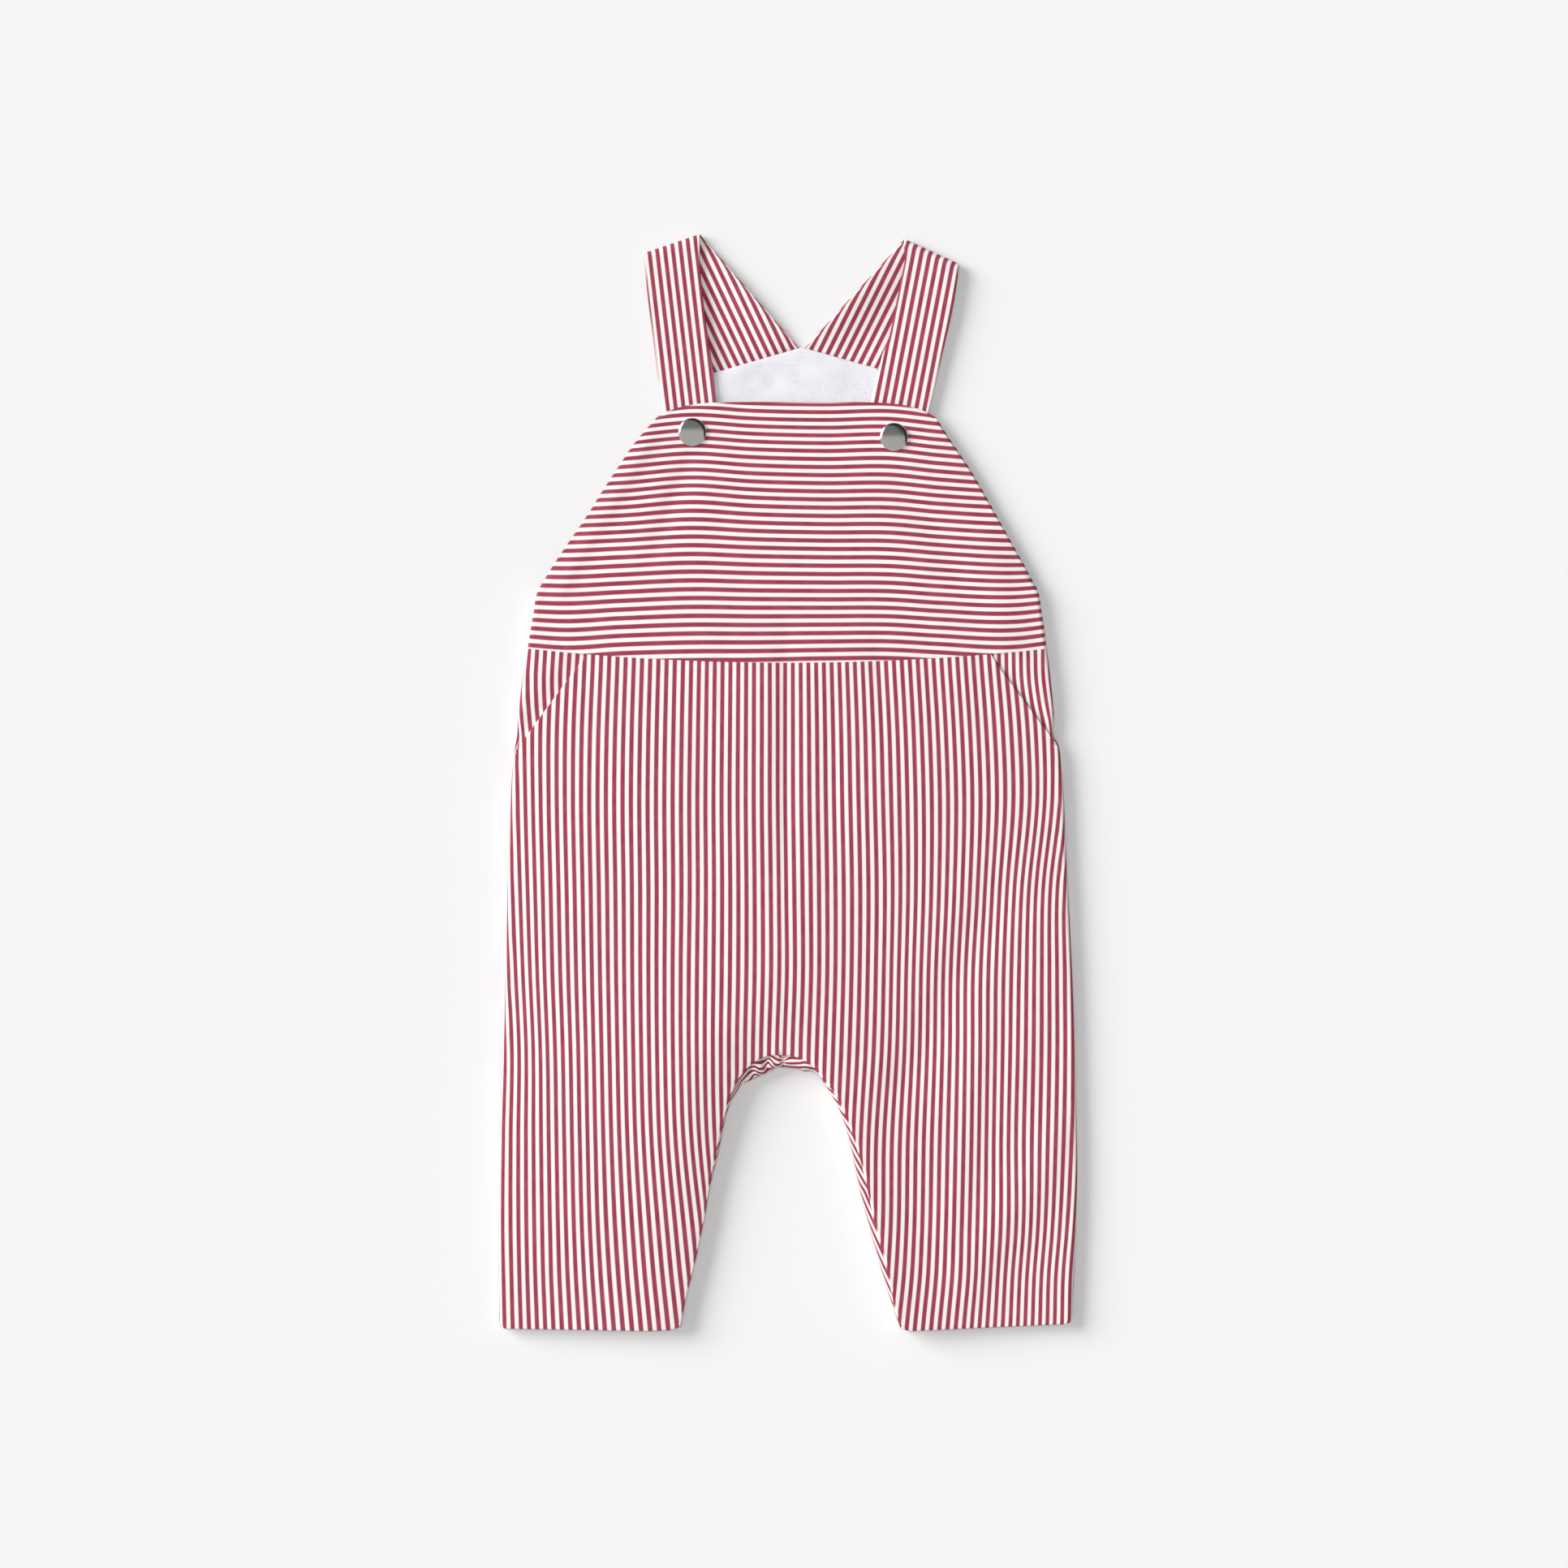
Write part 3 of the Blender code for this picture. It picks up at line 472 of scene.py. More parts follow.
def stripe_number(numbers, places, runs, place, across):
    """The number of the stripe at each point, whole on the middle of a red one.

    runs holds, for each place and each number, where that stripe is. Each stripe is read smoothly
    at the point's own place first, and the number is then read between the stripes found there.
    """
    found = np.stack([curve(places, run, place) for run in runs.T], axis=-1)
    lower = np.clip((found < across[..., None]).sum(axis=-1) - 1, 0, len(numbers) - 2)
    near, far = (np.take_along_axis(found, (lower + k)[..., None], axis=-1)[..., 0]
                 for k in (0, 1))
    return mix(numbers[lower], numbers[lower + 1], (across - near) / (far - near))


def named_runs(rows, places):
    """The numbers, places and runs that stripe_number takes, from a table of stripes.

    places gives the place of each of its columns, in rising order.
    """
    runs = np.array([column(rows, name) for name in places])
    return column(rows, "number"), np.array(list(places.values())), runs


# ---- the laid garment ----

def half_width(side, y, rows=FRONT_OUTLINE):
    """Distance of the side outline from X = 0. side is -1 on the left and 1 on the right."""
    return np.where(side < 0, -smooth(rows, "y", "left", y), smooth(rows, "y", "right", y))


def back_half_width(side, y):
    return half_width(side, y, BACK_BIB_OUTLINE)


def waist_y(x):
    """The waist seam, which dips in the middle."""
    return WAIST_MID_Y + WAIST_RISE * (x / WAIST_HALF) ** 2


def hem_y(x):
    return np.interp(x, column(HEMS, "x"), column(HEMS, "y"))


def slant_x(side, y):
    """Distance of a slant pocket's edge from X = 0."""
    slant = SLANTS[side]
    share = (y - slant.end_y) / (waist_y(slant.top_x) - slant.end_y)
    return mix(half_width(side, slant.end_y), slant.top_x, share)


def side_reach(turn):
    """How far out the rolled side edge is at a turn, as a share of its radius."""
    return np.clip(np.cos(turn), 0, 1) ** SIDE_SQUARENESS


def side_turn(inward):
    """The turn of the rolled side edge at a distance inwards from the outline."""
    return np.arccos((1 - np.clip(inward / SIDE_RADIUS, 0, 1)) ** (1 / SIDE_SQUARENESS))


SIDE_SAMPLES = 91
SIDE_TURNS = np.linspace(0, math.pi / 2, SIDE_SAMPLES)
SIDE_RUN = np.concatenate(([0], np.cumsum(np.hypot(
    np.diff(side_reach(SIDE_TURNS)), np.diff(np.sin(SIDE_TURNS))))))
ROLL_ARC = SIDE_RADIUS * SIDE_RUN[-1]


def side_turn_after(arc):
    """The turn of the rolled side edge after a way round it from the side seam."""
    return np.interp(arc / SIDE_RADIUS, SIDE_RUN, SIDE_TURNS)


def side_arc(inward):
    """The way round the rolled side edge to a distance inwards from the outline."""
    round_it = np.interp(side_turn(inward), SIDE_TURNS, SIDE_RUN) * SIDE_RADIUS
    return round_it + np.maximum(inward - SIDE_RADIUS, 0)


def closed_side(y):
    """1 where the side seam closes the garment, 0 above the underarm."""
    return 1 - ease((y - UNDERARM_Y) / UNDERARM_FADE)


CURVE_SAMPLES = 480


def inseam_curve():
    """The inseam fold as dense samples: travel from the centre seam, place, inward normal, show."""
    knots = np.array(INSEAM)
    chord = np.concatenate(([0], np.cumsum(np.hypot(*np.diff(knots[:, :2], axis=0).T))))
    at = np.linspace(0, chord[-1], CURVE_SAMPLES)
    x, y, show = (curve(chord, knots[:, k], at) for k in range(3))
    travel = np.concatenate(([0], np.cumsum(np.hypot(np.diff(x), np.diff(y)))))
    travel -= np.interp(CENTRE_X, x, travel)
    slope_x, slope_y = np.gradient(x, travel), np.gradient(y, travel)
    length = np.hypot(slope_x, slope_y)
    return {"travel": travel, "x": x, "y": y, "nx": -slope_y / length, "ny": slope_x / length,
            "show": np.maximum(show, 0)}


CURVE = inseam_curve()


def inseam_at(travel, inward=0.0, from_front_edge=False):
    """Points of the inseam fold, moved into the cloth, or moved from the edge of the front leg."""
    x, y, nx, ny, show = (np.interp(travel, CURVE["travel"], CURVE[name])
                          for name in ("x", "y", "nx", "ny", "show"))
    inward = inward + show * from_front_edge
    return x + nx * inward, y + ny * inward


FRONT_EDGE = inseam_at(CURVE["travel"], from_front_edge=True)


def inseam_distance(x, y):
    apart = [np.hypot(edge_x - x, edge_y - y) for edge_x, edge_y in zip(*FRONT_EDGE)]
    return np.min(apart, axis=0)


def fold_height(x, y):
    """What the soft folds add to the height at a place."""
    total = np.zeros_like(x)
    for fold in FRONT_FOLDS:
        run_x, run_y = fold.x1 - fold.x0, fold.y1 - fold.y0
        share = ((x - fold.x0) * run_x + (y - fold.y0) * run_y) / (run_x**2 + run_y**2)
        share = np.clip(share, 0, 1)
        distance = np.hypot(x - fold.x0 - share * run_x, y - fold.y0 - share * run_y)
        total += fold.height * np.exp(-((distance / fold.width) ** 2))
    return total


def crease_height(creases, x, y):
    """What creases add to the height at a place."""
    total = np.zeros_like(x)
    for crease in creases:
        run_x, run_y = crease.x1 - crease.x0, crease.y1 - crease.y0
        length = math.hypot(run_x, run_y)
        share = ((x - crease.x0) * run_x + (y - crease.y0) * run_y) / length**2
        aside = ((y - crease.y0) * run_x - (x - crease.x0) * run_y) / length
        aside -= crease.bow * 4 * share * (1 - share)
        taper = np.sin(math.pi * np.clip(share, 0, 1))
        total += crease.height * taper * np.exp(-((aside / crease.width) ** 2))
    return total


def inseam_lift(x, y):
    """How much higher the inseam fold stands round the crotch and along each leg."""
    away = np.hypot(x - CENTRE_X, y - CROTCH_Y)
    near_crotch = np.exp(-((away / CROTCH_REACH) ** 2))
    along_leg = mix(LEG_LIFTS[-1], LEG_LIFTS[1], ease((x - CENTRE_X) / LEG_LIFT_RUN))
    return mix(along_leg, CROTCH_LIFT, near_crotch)


def front_height(x, y):
    """Height of the front's outer face at each place."""
    x, y = np.broadcast_arrays(np.asarray(x, float), y)
    side = np.where(x < 0, -1, 1)
    inward = half_width(side, y) - side * x
    flatter = ease((x - FLATTER_FROM) / FLATTER_RUN)
    top = mix(*(smooth(LAID_HEIGHT, "y", name, y) for name in ("top", "right_top")), flatter)
    on_roll = SEAM_Z + SIDE_RADIUS * np.sin(side_turn(inward))
    shoulder = mix(SHOULDER_Z, top, swell((inward - SIDE_RADIUS) / SHOULDER_REACH))
    rolled = np.where(inward < SIDE_RADIUS, on_roll, shoulder)
    free = mix(smooth(LAID_HEIGHT, "y", "free_edge", y), top, swell(inward / BIB_FREE_REACH))
    to_inseam = inseam_distance(x, y)
    reach = mix(INSEAM_REACH[-1], INSEAM_REACH[1], flatter)
    inseam_drop = (top - INSEAM_Z - inseam_lift(x, y)) * (1 - swell(to_inseam / reach))
    edge_fade = ease(np.minimum(inward, to_inseam) / FOLD_EDGE_FADE)
    soft = fold_height(x, y) + crease_height(FRONT_CREASES, x, y)
    soft *= mix(1.0, edge_fade, closed_side(y))
    return mix(free, rolled, closed_side(y)) - inseam_drop + soft


def back_lift(x, y):
    """How far the creases lift the back off the surface."""
    side = np.where(x < 0, -1, 1)
    inward = half_width(side, y) - side * x
    return crease_height(BACK_CREASES, x, y) * ease((inward - SIDE_RADIUS) / FOLD_EDGE_FADE)


# ---- edges ----

SIDE_COLUMNS = 12
SIDE_ARCS = np.linspace(0, ROLL_ARC, SIDE_COLUMNS)


def from_side(side, arc, y, sunk, width_at=half_width):
    """Places across, rises above or below the side seam, and places in the cloth.

    arc is the way round the rolled side edge from its seam.
    """
    turn = side_turn_after(arc)
    past = np.maximum(arc - ROLL_ARC, 0)
    middle = width_at(side, y) - SIDE_RADIUS
    x = side * (middle + (SIDE_RADIUS - sunk) * side_reach(turn) - past)
    rise = np.maximum((SIDE_RADIUS - sunk) * np.sin(turn), HALF_GAP)
    return x, rise, side * (middle + ROLL_ARC - arc)


def front_side(side, y, sunk, arc=SIDE_ARCS):
    """Columns of a front wall from its side edge inwards: places across, heights, cloth places."""
    y = y[:, None]
    closed = closed_side(y)
    x, rise, cloth_x = from_side(side, arc, y, sunk)
    free_x = side * (half_width(side, y) - arc)
    open_z = front_height(free_x, y) - sunk
    closed_z = np.where(arc > ROLL_ARC, front_height(x, y) - sunk, SEAM_Z + rise)
    return mix(free_x, x, closed), mix(open_z, closed_z, closed), mix(free_x, cloth_x, closed)


def back_side(side, y, sunk, width_at):
    """Columns of a back wall from its side edge to where it lies flat."""
    y = y[:, None]
    closed = closed_side(y)
    x, rise, cloth_x = from_side(side, SIDE_ARCS, y, sunk, width_at)
    free_x = side * (width_at(side, y) - SIDE_ARCS)
    return mix(free_x, x, closed), mix(sunk, SEAM_Z - rise, closed), mix(free_x, cloth_x, closed)


def spread(start, end, count):
    """count further columns from start to end, without start."""
    shares = np.arange(1, count + 1) / count
    return start[:, None] + (end - start)[:, None] * shares


def ordered(side, array, left_first=True):
    """Columns listed from the side seam inwards, put in order across the garment."""
    return array if (side < 0) == left_first else array[:, ::-1]


# ---- meshes ----

def add_object(name, data):
    """A new object in the scene."""
    item = bpy.data.objects.new(name, data)
    bpy.context.collection.objects.link(item)
    return item


def rim_loop(quads):
    """The vertices round the edge of a sheet of quads, in order."""
    edges = np.concatenate([quads[:, [k, (k + 1) % 4]] for k in range(4)])
    pairs = set(map(tuple, edges.tolist()))
    following = {a: b for a, b in pairs if (b, a) not in pairs}
    loop = [min(following)]
    while following[loop[-1]] != loop[0]:
        loop.append(following[loop[-1]])
    return np.array(loop)


def rim_share(x, y):
    """How round an edge is: 1 where it is free and less on the pressed seams."""
    on_centre = (np.abs(x - CENTRE_X) < PRESSED_REACH) & (y < WAIST_MID_Y)
    on_waist = np.abs(y - waist_y(x)) < PRESSED_REACH
    return np.where(on_centre | on_waist, PRESSED_RIM, 1.0)


def cloth_run(quads, loop, points, cloth):
    """How the place in the cloth changes with each mm outwards at the edge of a sheet."""
    inside = np.ones(len(points), bool)
    inside[loop] = False
    sums = np.zeros((len(points), 6))
    corner = np.hstack([points, cloth, np.ones((len(points), 1))]) * inside[:, None]
    for k in range(4):
        np.add.at(sums, quads[:, k], corner[quads].sum(axis=1))
    sums = sums[loop]
    near, near_cloth = sums[:, :3] / sums[:, 5:], sums[:, 3:5] / sums[:, 5:]
    away = np.linalg.norm(points[loop] - near, axis=1, keepdims=True)
    return (cloth[loop] - near_cloth) / away


def ring_strip(near, far):
    """The corners of the quads between two rings, from whatever is listed round both."""
    return np.stack((np.roll(near, -1, axis=0), near, far, np.roll(far, -1, axis=0)), axis=1)


def shell(name, face_at, thickness, material):
    """A closed thin shell with rounded edges between a face and the same face moved into the cloth.

    face_at(sunk) gives a Face: rows of points in mm, NaN where there is no cloth. Going down a
    column and then along a row turns anticlockwise seen from outside.
    """
    face = face_at(0.0)
    rows, columns = face.points.shape[:2]
    outer, inner = face.points.reshape(-1, 3), face_at(thickness).points.reshape(-1, 3)
    cloth = face.cloth.reshape(-1, 2)
    index = np.arange(rows * columns).reshape(rows, columns)
    quads = np.stack((index[:-1, :-1], index[1:, :-1], index[1:, 1:], index[:-1, 1:]), axis=-1)
    quads = quads.reshape(-1, 4)
    quads = quads[~np.isnan(outer[quads]).any(axis=(1, 2))]
    loop = rim_loop(quads)
    run = cloth_run(quads, loop, np.nan_to_num(outer), np.nan_to_num(cloth))

    edge, through = outer[loop], (outer[loop] - inner[loop]) / 2
    out = np.cross(np.roll(edge, -1, axis=0) - np.roll(edge, 1, axis=0), through)
    out /= np.linalg.norm(out, axis=1, keepdims=True)
    share = rim_share(*edge[:, :2].T)[:, None]
    radius = np.linalg.norm(through, axis=1, keepdims=True) * share
    outer, inner = outer.copy(), inner.copy()
    outer[loop] -= out * radius
    inner[loop] -= out * radius
    middle = (outer[loop] + inner[loop]) / 2
    turns = np.linspace(0, math.pi, RIM_STEPS + 1)
    rings = [middle + through * math.cos(turn) + out * radius * math.sin(turn) for turn in turns]
    # The cloth runs on round the rim, which starts one radius inside the edge.
    ring_cloth = [cloth[loop] + run * radius * (turn - 1) for turn in turns]

    count, around = len(outer), len(loop)
    ring_index = [loop]
    ring_index += [2 * count + k * around + np.arange(around) for k in range(RIM_STEPS - 1)]
    ring_index += [count + loop]
    faces, places = [quads, count + quads[:, ::-1]], [cloth[quads], cloth[quads[:, ::-1]]]
    for k in range(RIM_STEPS):
        faces.append(ring_strip(*ring_index[k:k + 2]))
        places.append(ring_strip(*ring_cloth[k:k + 2]))
    pressed = np.zeros(2 * count + (RIM_STEPS - 1) * around, bool)
    for side in (0, count):
        pressed[side + loop] = share[:, 0] < 1
    return add_mesh(name, np.concatenate([outer, inner, *rings[1:-1]]), np.concatenate(faces),
                    np.concatenate(places), pressed, material)


def add_mesh(name, points, faces, places, pressed, material):
    """An object from points in mm, quads, and the place in the cloth of every corner.

    An edge between two pressed points is a sharp one.
    """
    used, faces = np.unique(faces, return_inverse=True)
    mesh = bpy.data.meshes.new(name)
    mesh.from_pydata((points[used] * MM).tolist(), [], faces.reshape(-1, 4).tolist())
    mesh.uv_layers.new(name="Cloth").data.foreach_set("uv", places.astype(np.float32).ravel())
    mesh.shade_smooth()
    ends = np.empty(2 * len(mesh.edges), np.int32)
    mesh.edges.foreach_get("vertices", ends)
    mesh.edges.foreach_set("use_edge_sharp", pressed[used][ends.reshape(-1, 2)].all(axis=1))
    mesh.materials.append(material)
    return add_object(name, mesh)


# ---- bibs ----

BIB_ROWS = 64
BIB_ACROSS = 96


def bib_rows(left, right, edge_y, top_y, overhang=0.0):
    """Places across and up of a bib's points, from its top edge down to the waist seam.

    left and right hold the places across of its side columns, from the edge inwards.
    """
    inner = spread(left[:, -1], right[:, -1], BIB_ACROSS)[:, :-1]
    x = np.hstack([left, inner, right[:, ::-1]])
    share = np.linspace(1, 0, BIB_ROWS)[:, None]
    foot_y, heads_x = edge_y[-1], (left[0, 0], right[0, 0])
    head_y = np.interp(x, heads_x, [top_y(heads_x[0]), top_y(heads_x[1])])
    y = mix(foot_y, head_y, share) + (waist_y(x) + HALF_GAP - foot_y) * (1 - share) ** 2
    return x, y + (top_y(x) + overhang - head_y) * share**3


def bib(left, right, edge_y, top_y, height_at):
    """Places, heights and cloth places across of a bib between its left and right side columns."""
    x, y = bib_rows(left[0], right[0], edge_y, top_y)
    z, cloth_x = height_at(x, y), x.copy()
    for part, columns in ((left, slice(0, SIDE_COLUMNS)), (right, slice(-1, -SIDE_COLUMNS - 1, -1))):
        z[:, columns] = part[1]
        cloth_x[:, columns] = part[2]
    return x, y, z, cloth_x


def front_top_y(x):
    """The front bib's top edge, level between its rounded-off corners."""
    corners = FRONT_OUTLINE[-1]
    middle, half = (corners.left + corners.right) / 2, (corners.right - corners.left) / 2
    reach = np.minimum(np.abs((x - middle) / half), 1.0)
    return BIB_EDGE_Y + BIB_TOP_RISE * (1 - reach**BIB_TOP_FLATNESS)


def front_bib_face(sunk):
    """The front bib: its side seams are short, and above the underarm its sides hang free."""
    edge_y = np.linspace(BIB_EDGE_Y, waist_y(WAIST_HALF), BIB_ROWS)
    sides = (front_side(side, edge_y, sunk) for side in (-1, 1))
    x, y, z, cloth_x = bib(*sides, edge_y, front_top_y, lambda x, y: front_height(x, y) - sunk)
    number = stripe_number(*named_runs(BIB_STRIPES, BIB_PLACES), cloth_x, y)
    return Face(np.stack((x, y, z), axis=-1), np.stack((number, cloth_x / PITCH), axis=-1))


def back_corner(side):
    """A top corner of the back bib, just below the outer corner of its strap."""
    x, y = STRAPS[0].back_left if side < 0 else STRAPS[1].back_right
    return x, y - HALF_GAP


def back_top_y(x):
    """The peaked top edge of the back bib, straight from its peak to its corners."""
    left, right = back_corner(-1), back_corner(1)
    return np.interp(x, (left[0], PEAK_X, right[0]), (left[1], PEAK_Y, right[1]))


def back_edge_rows(side):
    return np.linspace(back_corner(side)[1], waist_y(WAIST_HALF), BIB_ROWS)


def back_bib_face(sunk):
    """The back bib, flat where it rests, with its side seams rolled up to meet the front."""
    sides = (back_side(side, back_edge_rows(side), sunk, back_half_width) for side in (-1, 1))
    x, y, z, cloth_x = bib(*sides, back_edge_rows(-1), back_top_y,
                           lambda x, y: sunk + back_lift(x, y))
    return Face(np.stack((x, y, z), axis=-1)[:, ::-1],
                np.stack((-y, cloth_x), axis=-1)[:, ::-1] / PITCH)


def back_lining_face(sunk):
    """The lining lies on the back bib and covers the seam at its top edge."""
    edges = []
    for side in (-1, 1):
        y = back_edge_rows(side)
        inset = LINING_INSET * closed_side(y - UNDERARM_FADE)
        edges.append((side * (back_half_width(side, y) - inset))[:, None])
    x, y = bib_rows(*edges, back_edge_rows(-1), back_top_y, LINING_OVERHANG)
    z = LINING_TOP - sunk + back_lift(x, y) + crease_height(LINING_CREASES, x, y)
    return Face(np.stack((x, y, z), axis=-1), np.stack((x, y), axis=-1) / PITCH)


# ---- legs ----

CROTCH_ROW_Y = -94.0
UPPER_ROWS = 74
BAND_ROWS = 18
LOWER_ROWS = 74
LOWER_LEAD = 0.92
LEG_ACROSS = 60
BACK_ACROSS = 36
END_BEND_ROWS = 12
FACING_ROWS = 34
FACING_ACROSS = 14
LIP_COLUMNS = 10


def leg_rows(side, first_y, inner_inward=0.0, from_front_edge=False):
    """For each row of a leg: its height at the side, its inner end and its travel.

    The rows above the crotch end at the centre seam and have no travel. The rows below them end
    along the inseam.
    """
    inner_x = CENTRE_X + side * HALF_GAP
    corner_y = inseam_at(0.0, inner_inward, from_front_edge)[1]
    share = np.linspace(0, 1, UPPER_ROWS)
    band_end = BAND_ENDS[side]
    total = abs(CURVE["travel"][0 if side < 0 else -1])
    travel = np.concatenate([np.linspace(0, band_end, BAND_ROWS + 1)[1:-1],
                             np.linspace(band_end + HALF_GAP, total, LOWER_ROWS)])
    hem_side_y = hem_y(side * half_width(side, HEMS[0].y))
    end_x, end_y = inseam_at(side * travel, inner_inward, from_front_edge)
    rows_y = np.concatenate([mix(first_y, CROTCH_ROW_Y, share),
                             mix(CROTCH_ROW_Y, hem_side_y, (travel / total) ** LOWER_LEAD)])
    end_x = np.concatenate([np.full(UPPER_ROWS, inner_x), end_x])
    end_y = np.concatenate([mix(waist_y(inner_x), corner_y, share), end_y])
    return rows_y, end_x, end_y, np.concatenate([np.zeros(UPPER_ROWS), side * travel])


def bend_first(y, line_y):
    """Bend the first rows of a grid so that its first one lies on a line."""
    fade = np.clip(1 - np.arange(len(y)) / END_BEND_ROWS, 0, 1)[:, None] ** 2
    return y + (line_y - y[0]) * fade


def bend_head(x, y):
    """Bend a panel's first rows to the waist seam."""
    return bend_first(y, waist_y(x[0]) - HALF_GAP)


def bend_ends(x, y):
    """Bend a leg's first rows to the waist seam and its last ones to the hem."""
    return bend_first(bend_head(x, y)[::-1], hem_y(x[-1]))[::-1]


def panel(side_columns, rows_y, ends, across, bend, height_at):
    """Points and cloth places across of a panel, from its side columns to its inner ends."""
    side_x, side_z, side_cloth = side_columns
    inner_x = spread(side_x[:, -1], ends[0], across)
    x = np.hstack([side_x, inner_x])
    side_y = np.repeat(rows_y[:, None], SIDE_COLUMNS, 1)
    y = bend(x, np.hstack([side_y, spread(rows_y, ends[1], across)]))
    z = np.hstack([side_z, height_at(inner_x, y[:, SIDE_COLUMNS:])])
    return np.stack((x, y, z), axis=-1), np.hstack([side_cloth, inner_x])


def front_leg_face(side, sunk):
    """A front leg with its slant pocket edge, its centre seam, crotch arch and inseam edge."""
    rows_y, *ends, _ = leg_rows(side, waist_y(SLANTS[side].top_x), from_front_edge=True)
    slant = np.maximum(half_width(side, rows_y) - slant_x(side, rows_y), 0)
    slant[rows_y <= SLANTS[side].end_y] = 0
    side_columns = front_side(side, rows_y, sunk, side_arc(slant)[:, None] + SIDE_ARCS)
    points, cloth_x = panel(side_columns, rows_y, ends, LEG_ACROSS, bend_ends,
                            lambda x, y: front_height(x, y) - sunk)
    y = points[..., 1]
    number = stripe_number(*named_runs(LEG_STRIPES, LEG_HEIGHTS), y, cloth_x)
    return Face(ordered(side, points), ordered(side, np.stack((number, y / PITCH), axis=-1)))


ROLL_SAMPLES = 31
ROLL_TURNS = np.linspace(0, math.pi, ROLL_SAMPLES)


def roll_columns(travel, sunk, out=0.0):
    """Points round the inseam fold from its foot to the end of its lip, and places in the cloth.

    out is how far the fold stands out from its line.
    """
    travel = travel[:, None]
    past_band = np.abs(travel) - np.where(travel < 0, BAND_ENDS[-1], BAND_ENDS[1])
    squareness = mix(1.0, PRESSED_SQUARENESS, ease(past_band / PRESSED_RUN))
    bulge = np.broadcast_to(out, travel.shape[:1])[:, None] * np.sin(ROLL_TURNS)
    reach = np.clip(np.sin(ROLL_TURNS), 0, 1) ** squareness
    inward = ROLL_RADIUS - (ROLL_RADIUS - sunk) * reach - bulge
    z = ROLL_RADIUS - (ROLL_RADIUS - sunk) * np.cos(ROLL_TURNS)
    roll = inseam_at(travel, inward)
    run = np.cumsum(np.hypot(np.diff(reach), np.diff(np.cos(ROLL_TURNS))), axis=1)
    unrolled = ROLL_RADIUS * (1 - np.hstack([0 * travel, run]))
    lip_end = inseam_at(travel, LIP_LENGTH, from_front_edge=True)
    lip = [spread(roll[k][:, -1], lip_end[k][:, 0], LIP_COLUMNS) for k in (0, 1)]
    lip_run = np.hypot(lip[0] - roll[0][:, -1:], lip[1] - roll[1][:, -1:])
    unrolled += np.minimum(unrolled, 0) * (INSEAM_SQUEEZE - 1)
    roll_cloth = inseam_at(travel, unrolled)
    lip_cloth = inseam_at(travel, unrolled[:, -1:] - lip_run * INSEAM_SQUEEZE)
    z = np.hstack([z + 0 * travel, np.full(lip[0].shape, 2 * ROLL_RADIUS - sunk)])
    z *= 1 + inseam_lift(*inseam_at(travel)) / (2 * ROLL_RADIUS)
    points = [np.hstack([roll[k], lip[k]]) for k in (0, 1)]
    cloth = [np.hstack([roll_cloth[k], lip_cloth[k]]) for k in (0, 1)]
    leaned = np.concatenate([ease(2 * ROLL_TURNS / math.pi), np.ones(LIP_COLUMNS)])
    over = np.interp(cloth[1], column(INSEAM_LEANS, "y"), column(INSEAM_LEANS, "over"))
    cloth[0] = cloth[0] + np.sign(travel) * over * leaned
    return np.stack((*points, z), axis=-1), np.stack(cloth, axis=-1) / PITCH


def back_leg_face(side, sunk):
    """A back leg, flat on the surface, rolled up at its side seam and round its inseam."""
    rows_y, *ends, travel = leg_rows(side, waist_y(WAIST_HALF), inner_inward=ROLL_FOOT)
    points, cloth_x = panel(back_side(side, rows_y, sunk, half_width), rows_y, ends, BACK_ACROSS,
                            bend_ends, lambda x, y: sunk + back_lift(x, y))
    cloth = np.stack((cloth_x, points[..., 1]), axis=-1) / PITCH
    roll, roll_cloth = roll_columns(travel, sunk)
    roll[np.abs(travel) <= BAND_ENDS[side]] = np.nan
    points = np.hstack([points, roll])
    cloth = np.hstack([cloth, roll_cloth])
    return Face(*(ordered(side, array, left_first=False) for array in (points, cloth)))


def facing_face(side, sunk):
    """The hip piece outside the slant edge: it rises from under the edge to meet the side seam."""
    rows_y = np.linspace(waist_y(WAIST_HALF), FACING_END_Y, FACING_ROWS)

    def edge_x(y):
        return np.minimum(slant_x(side, y), half_width(side, y))

    def depth(x, y):
        outside = side * x - edge_x(y)
        return (WALL + UNDERLAP_GAP) * ease(1 - outside / FACING_RISE_REACH) + sunk

    shoulder = side * (half_width(side, rows_y)[:, None]
                       - SIDE_RADIUS * (1 - side_reach(side_turn_after(SIDE_ARCS))))
    side_columns = front_side(side, rows_y, depth(shoulder, rows_y[:, None]))
    ends = side * (edge_x(rows_y) - FACING_UNDERLAP), rows_y
    points, cloth_x = panel(side_columns, rows_y, ends, FACING_ACROSS, bend_head,
                            lambda x, y: front_height(x, y) - depth(x, y))
    y = points[..., 1]
    stripe_x = smooth(FACING_STRIPES, "y", "left" if side < 0 else "right", y)
    number = (cloth_x - stripe_x) / FACING_PITCH[side]
    return Face(ordered(side, points), ordered(side, np.stack((number, y / PITCH), axis=-1)))


# ---- crotch band ----

BAND_COLUMNS = 150


def band_stripe(points, turns, fold):
    """The number of the band's stripe at each point, which below the fold goes on round it."""
    below = np.maximum(math.pi / 2 - turns, 0) * ROLL_RADIUS
    y = np.where(below > 0, fold[:, 1:2] - below, points[..., 1])
    runs = np.stack([column(BAND_PLACES, name) for name in BAND_STRIPES], axis=1)
    numbers = np.arange(len(BAND_STRIPES), dtype=float)
    return stripe_number(numbers, column(BAND_PLACES, "x"), runs, points[..., 0], y)


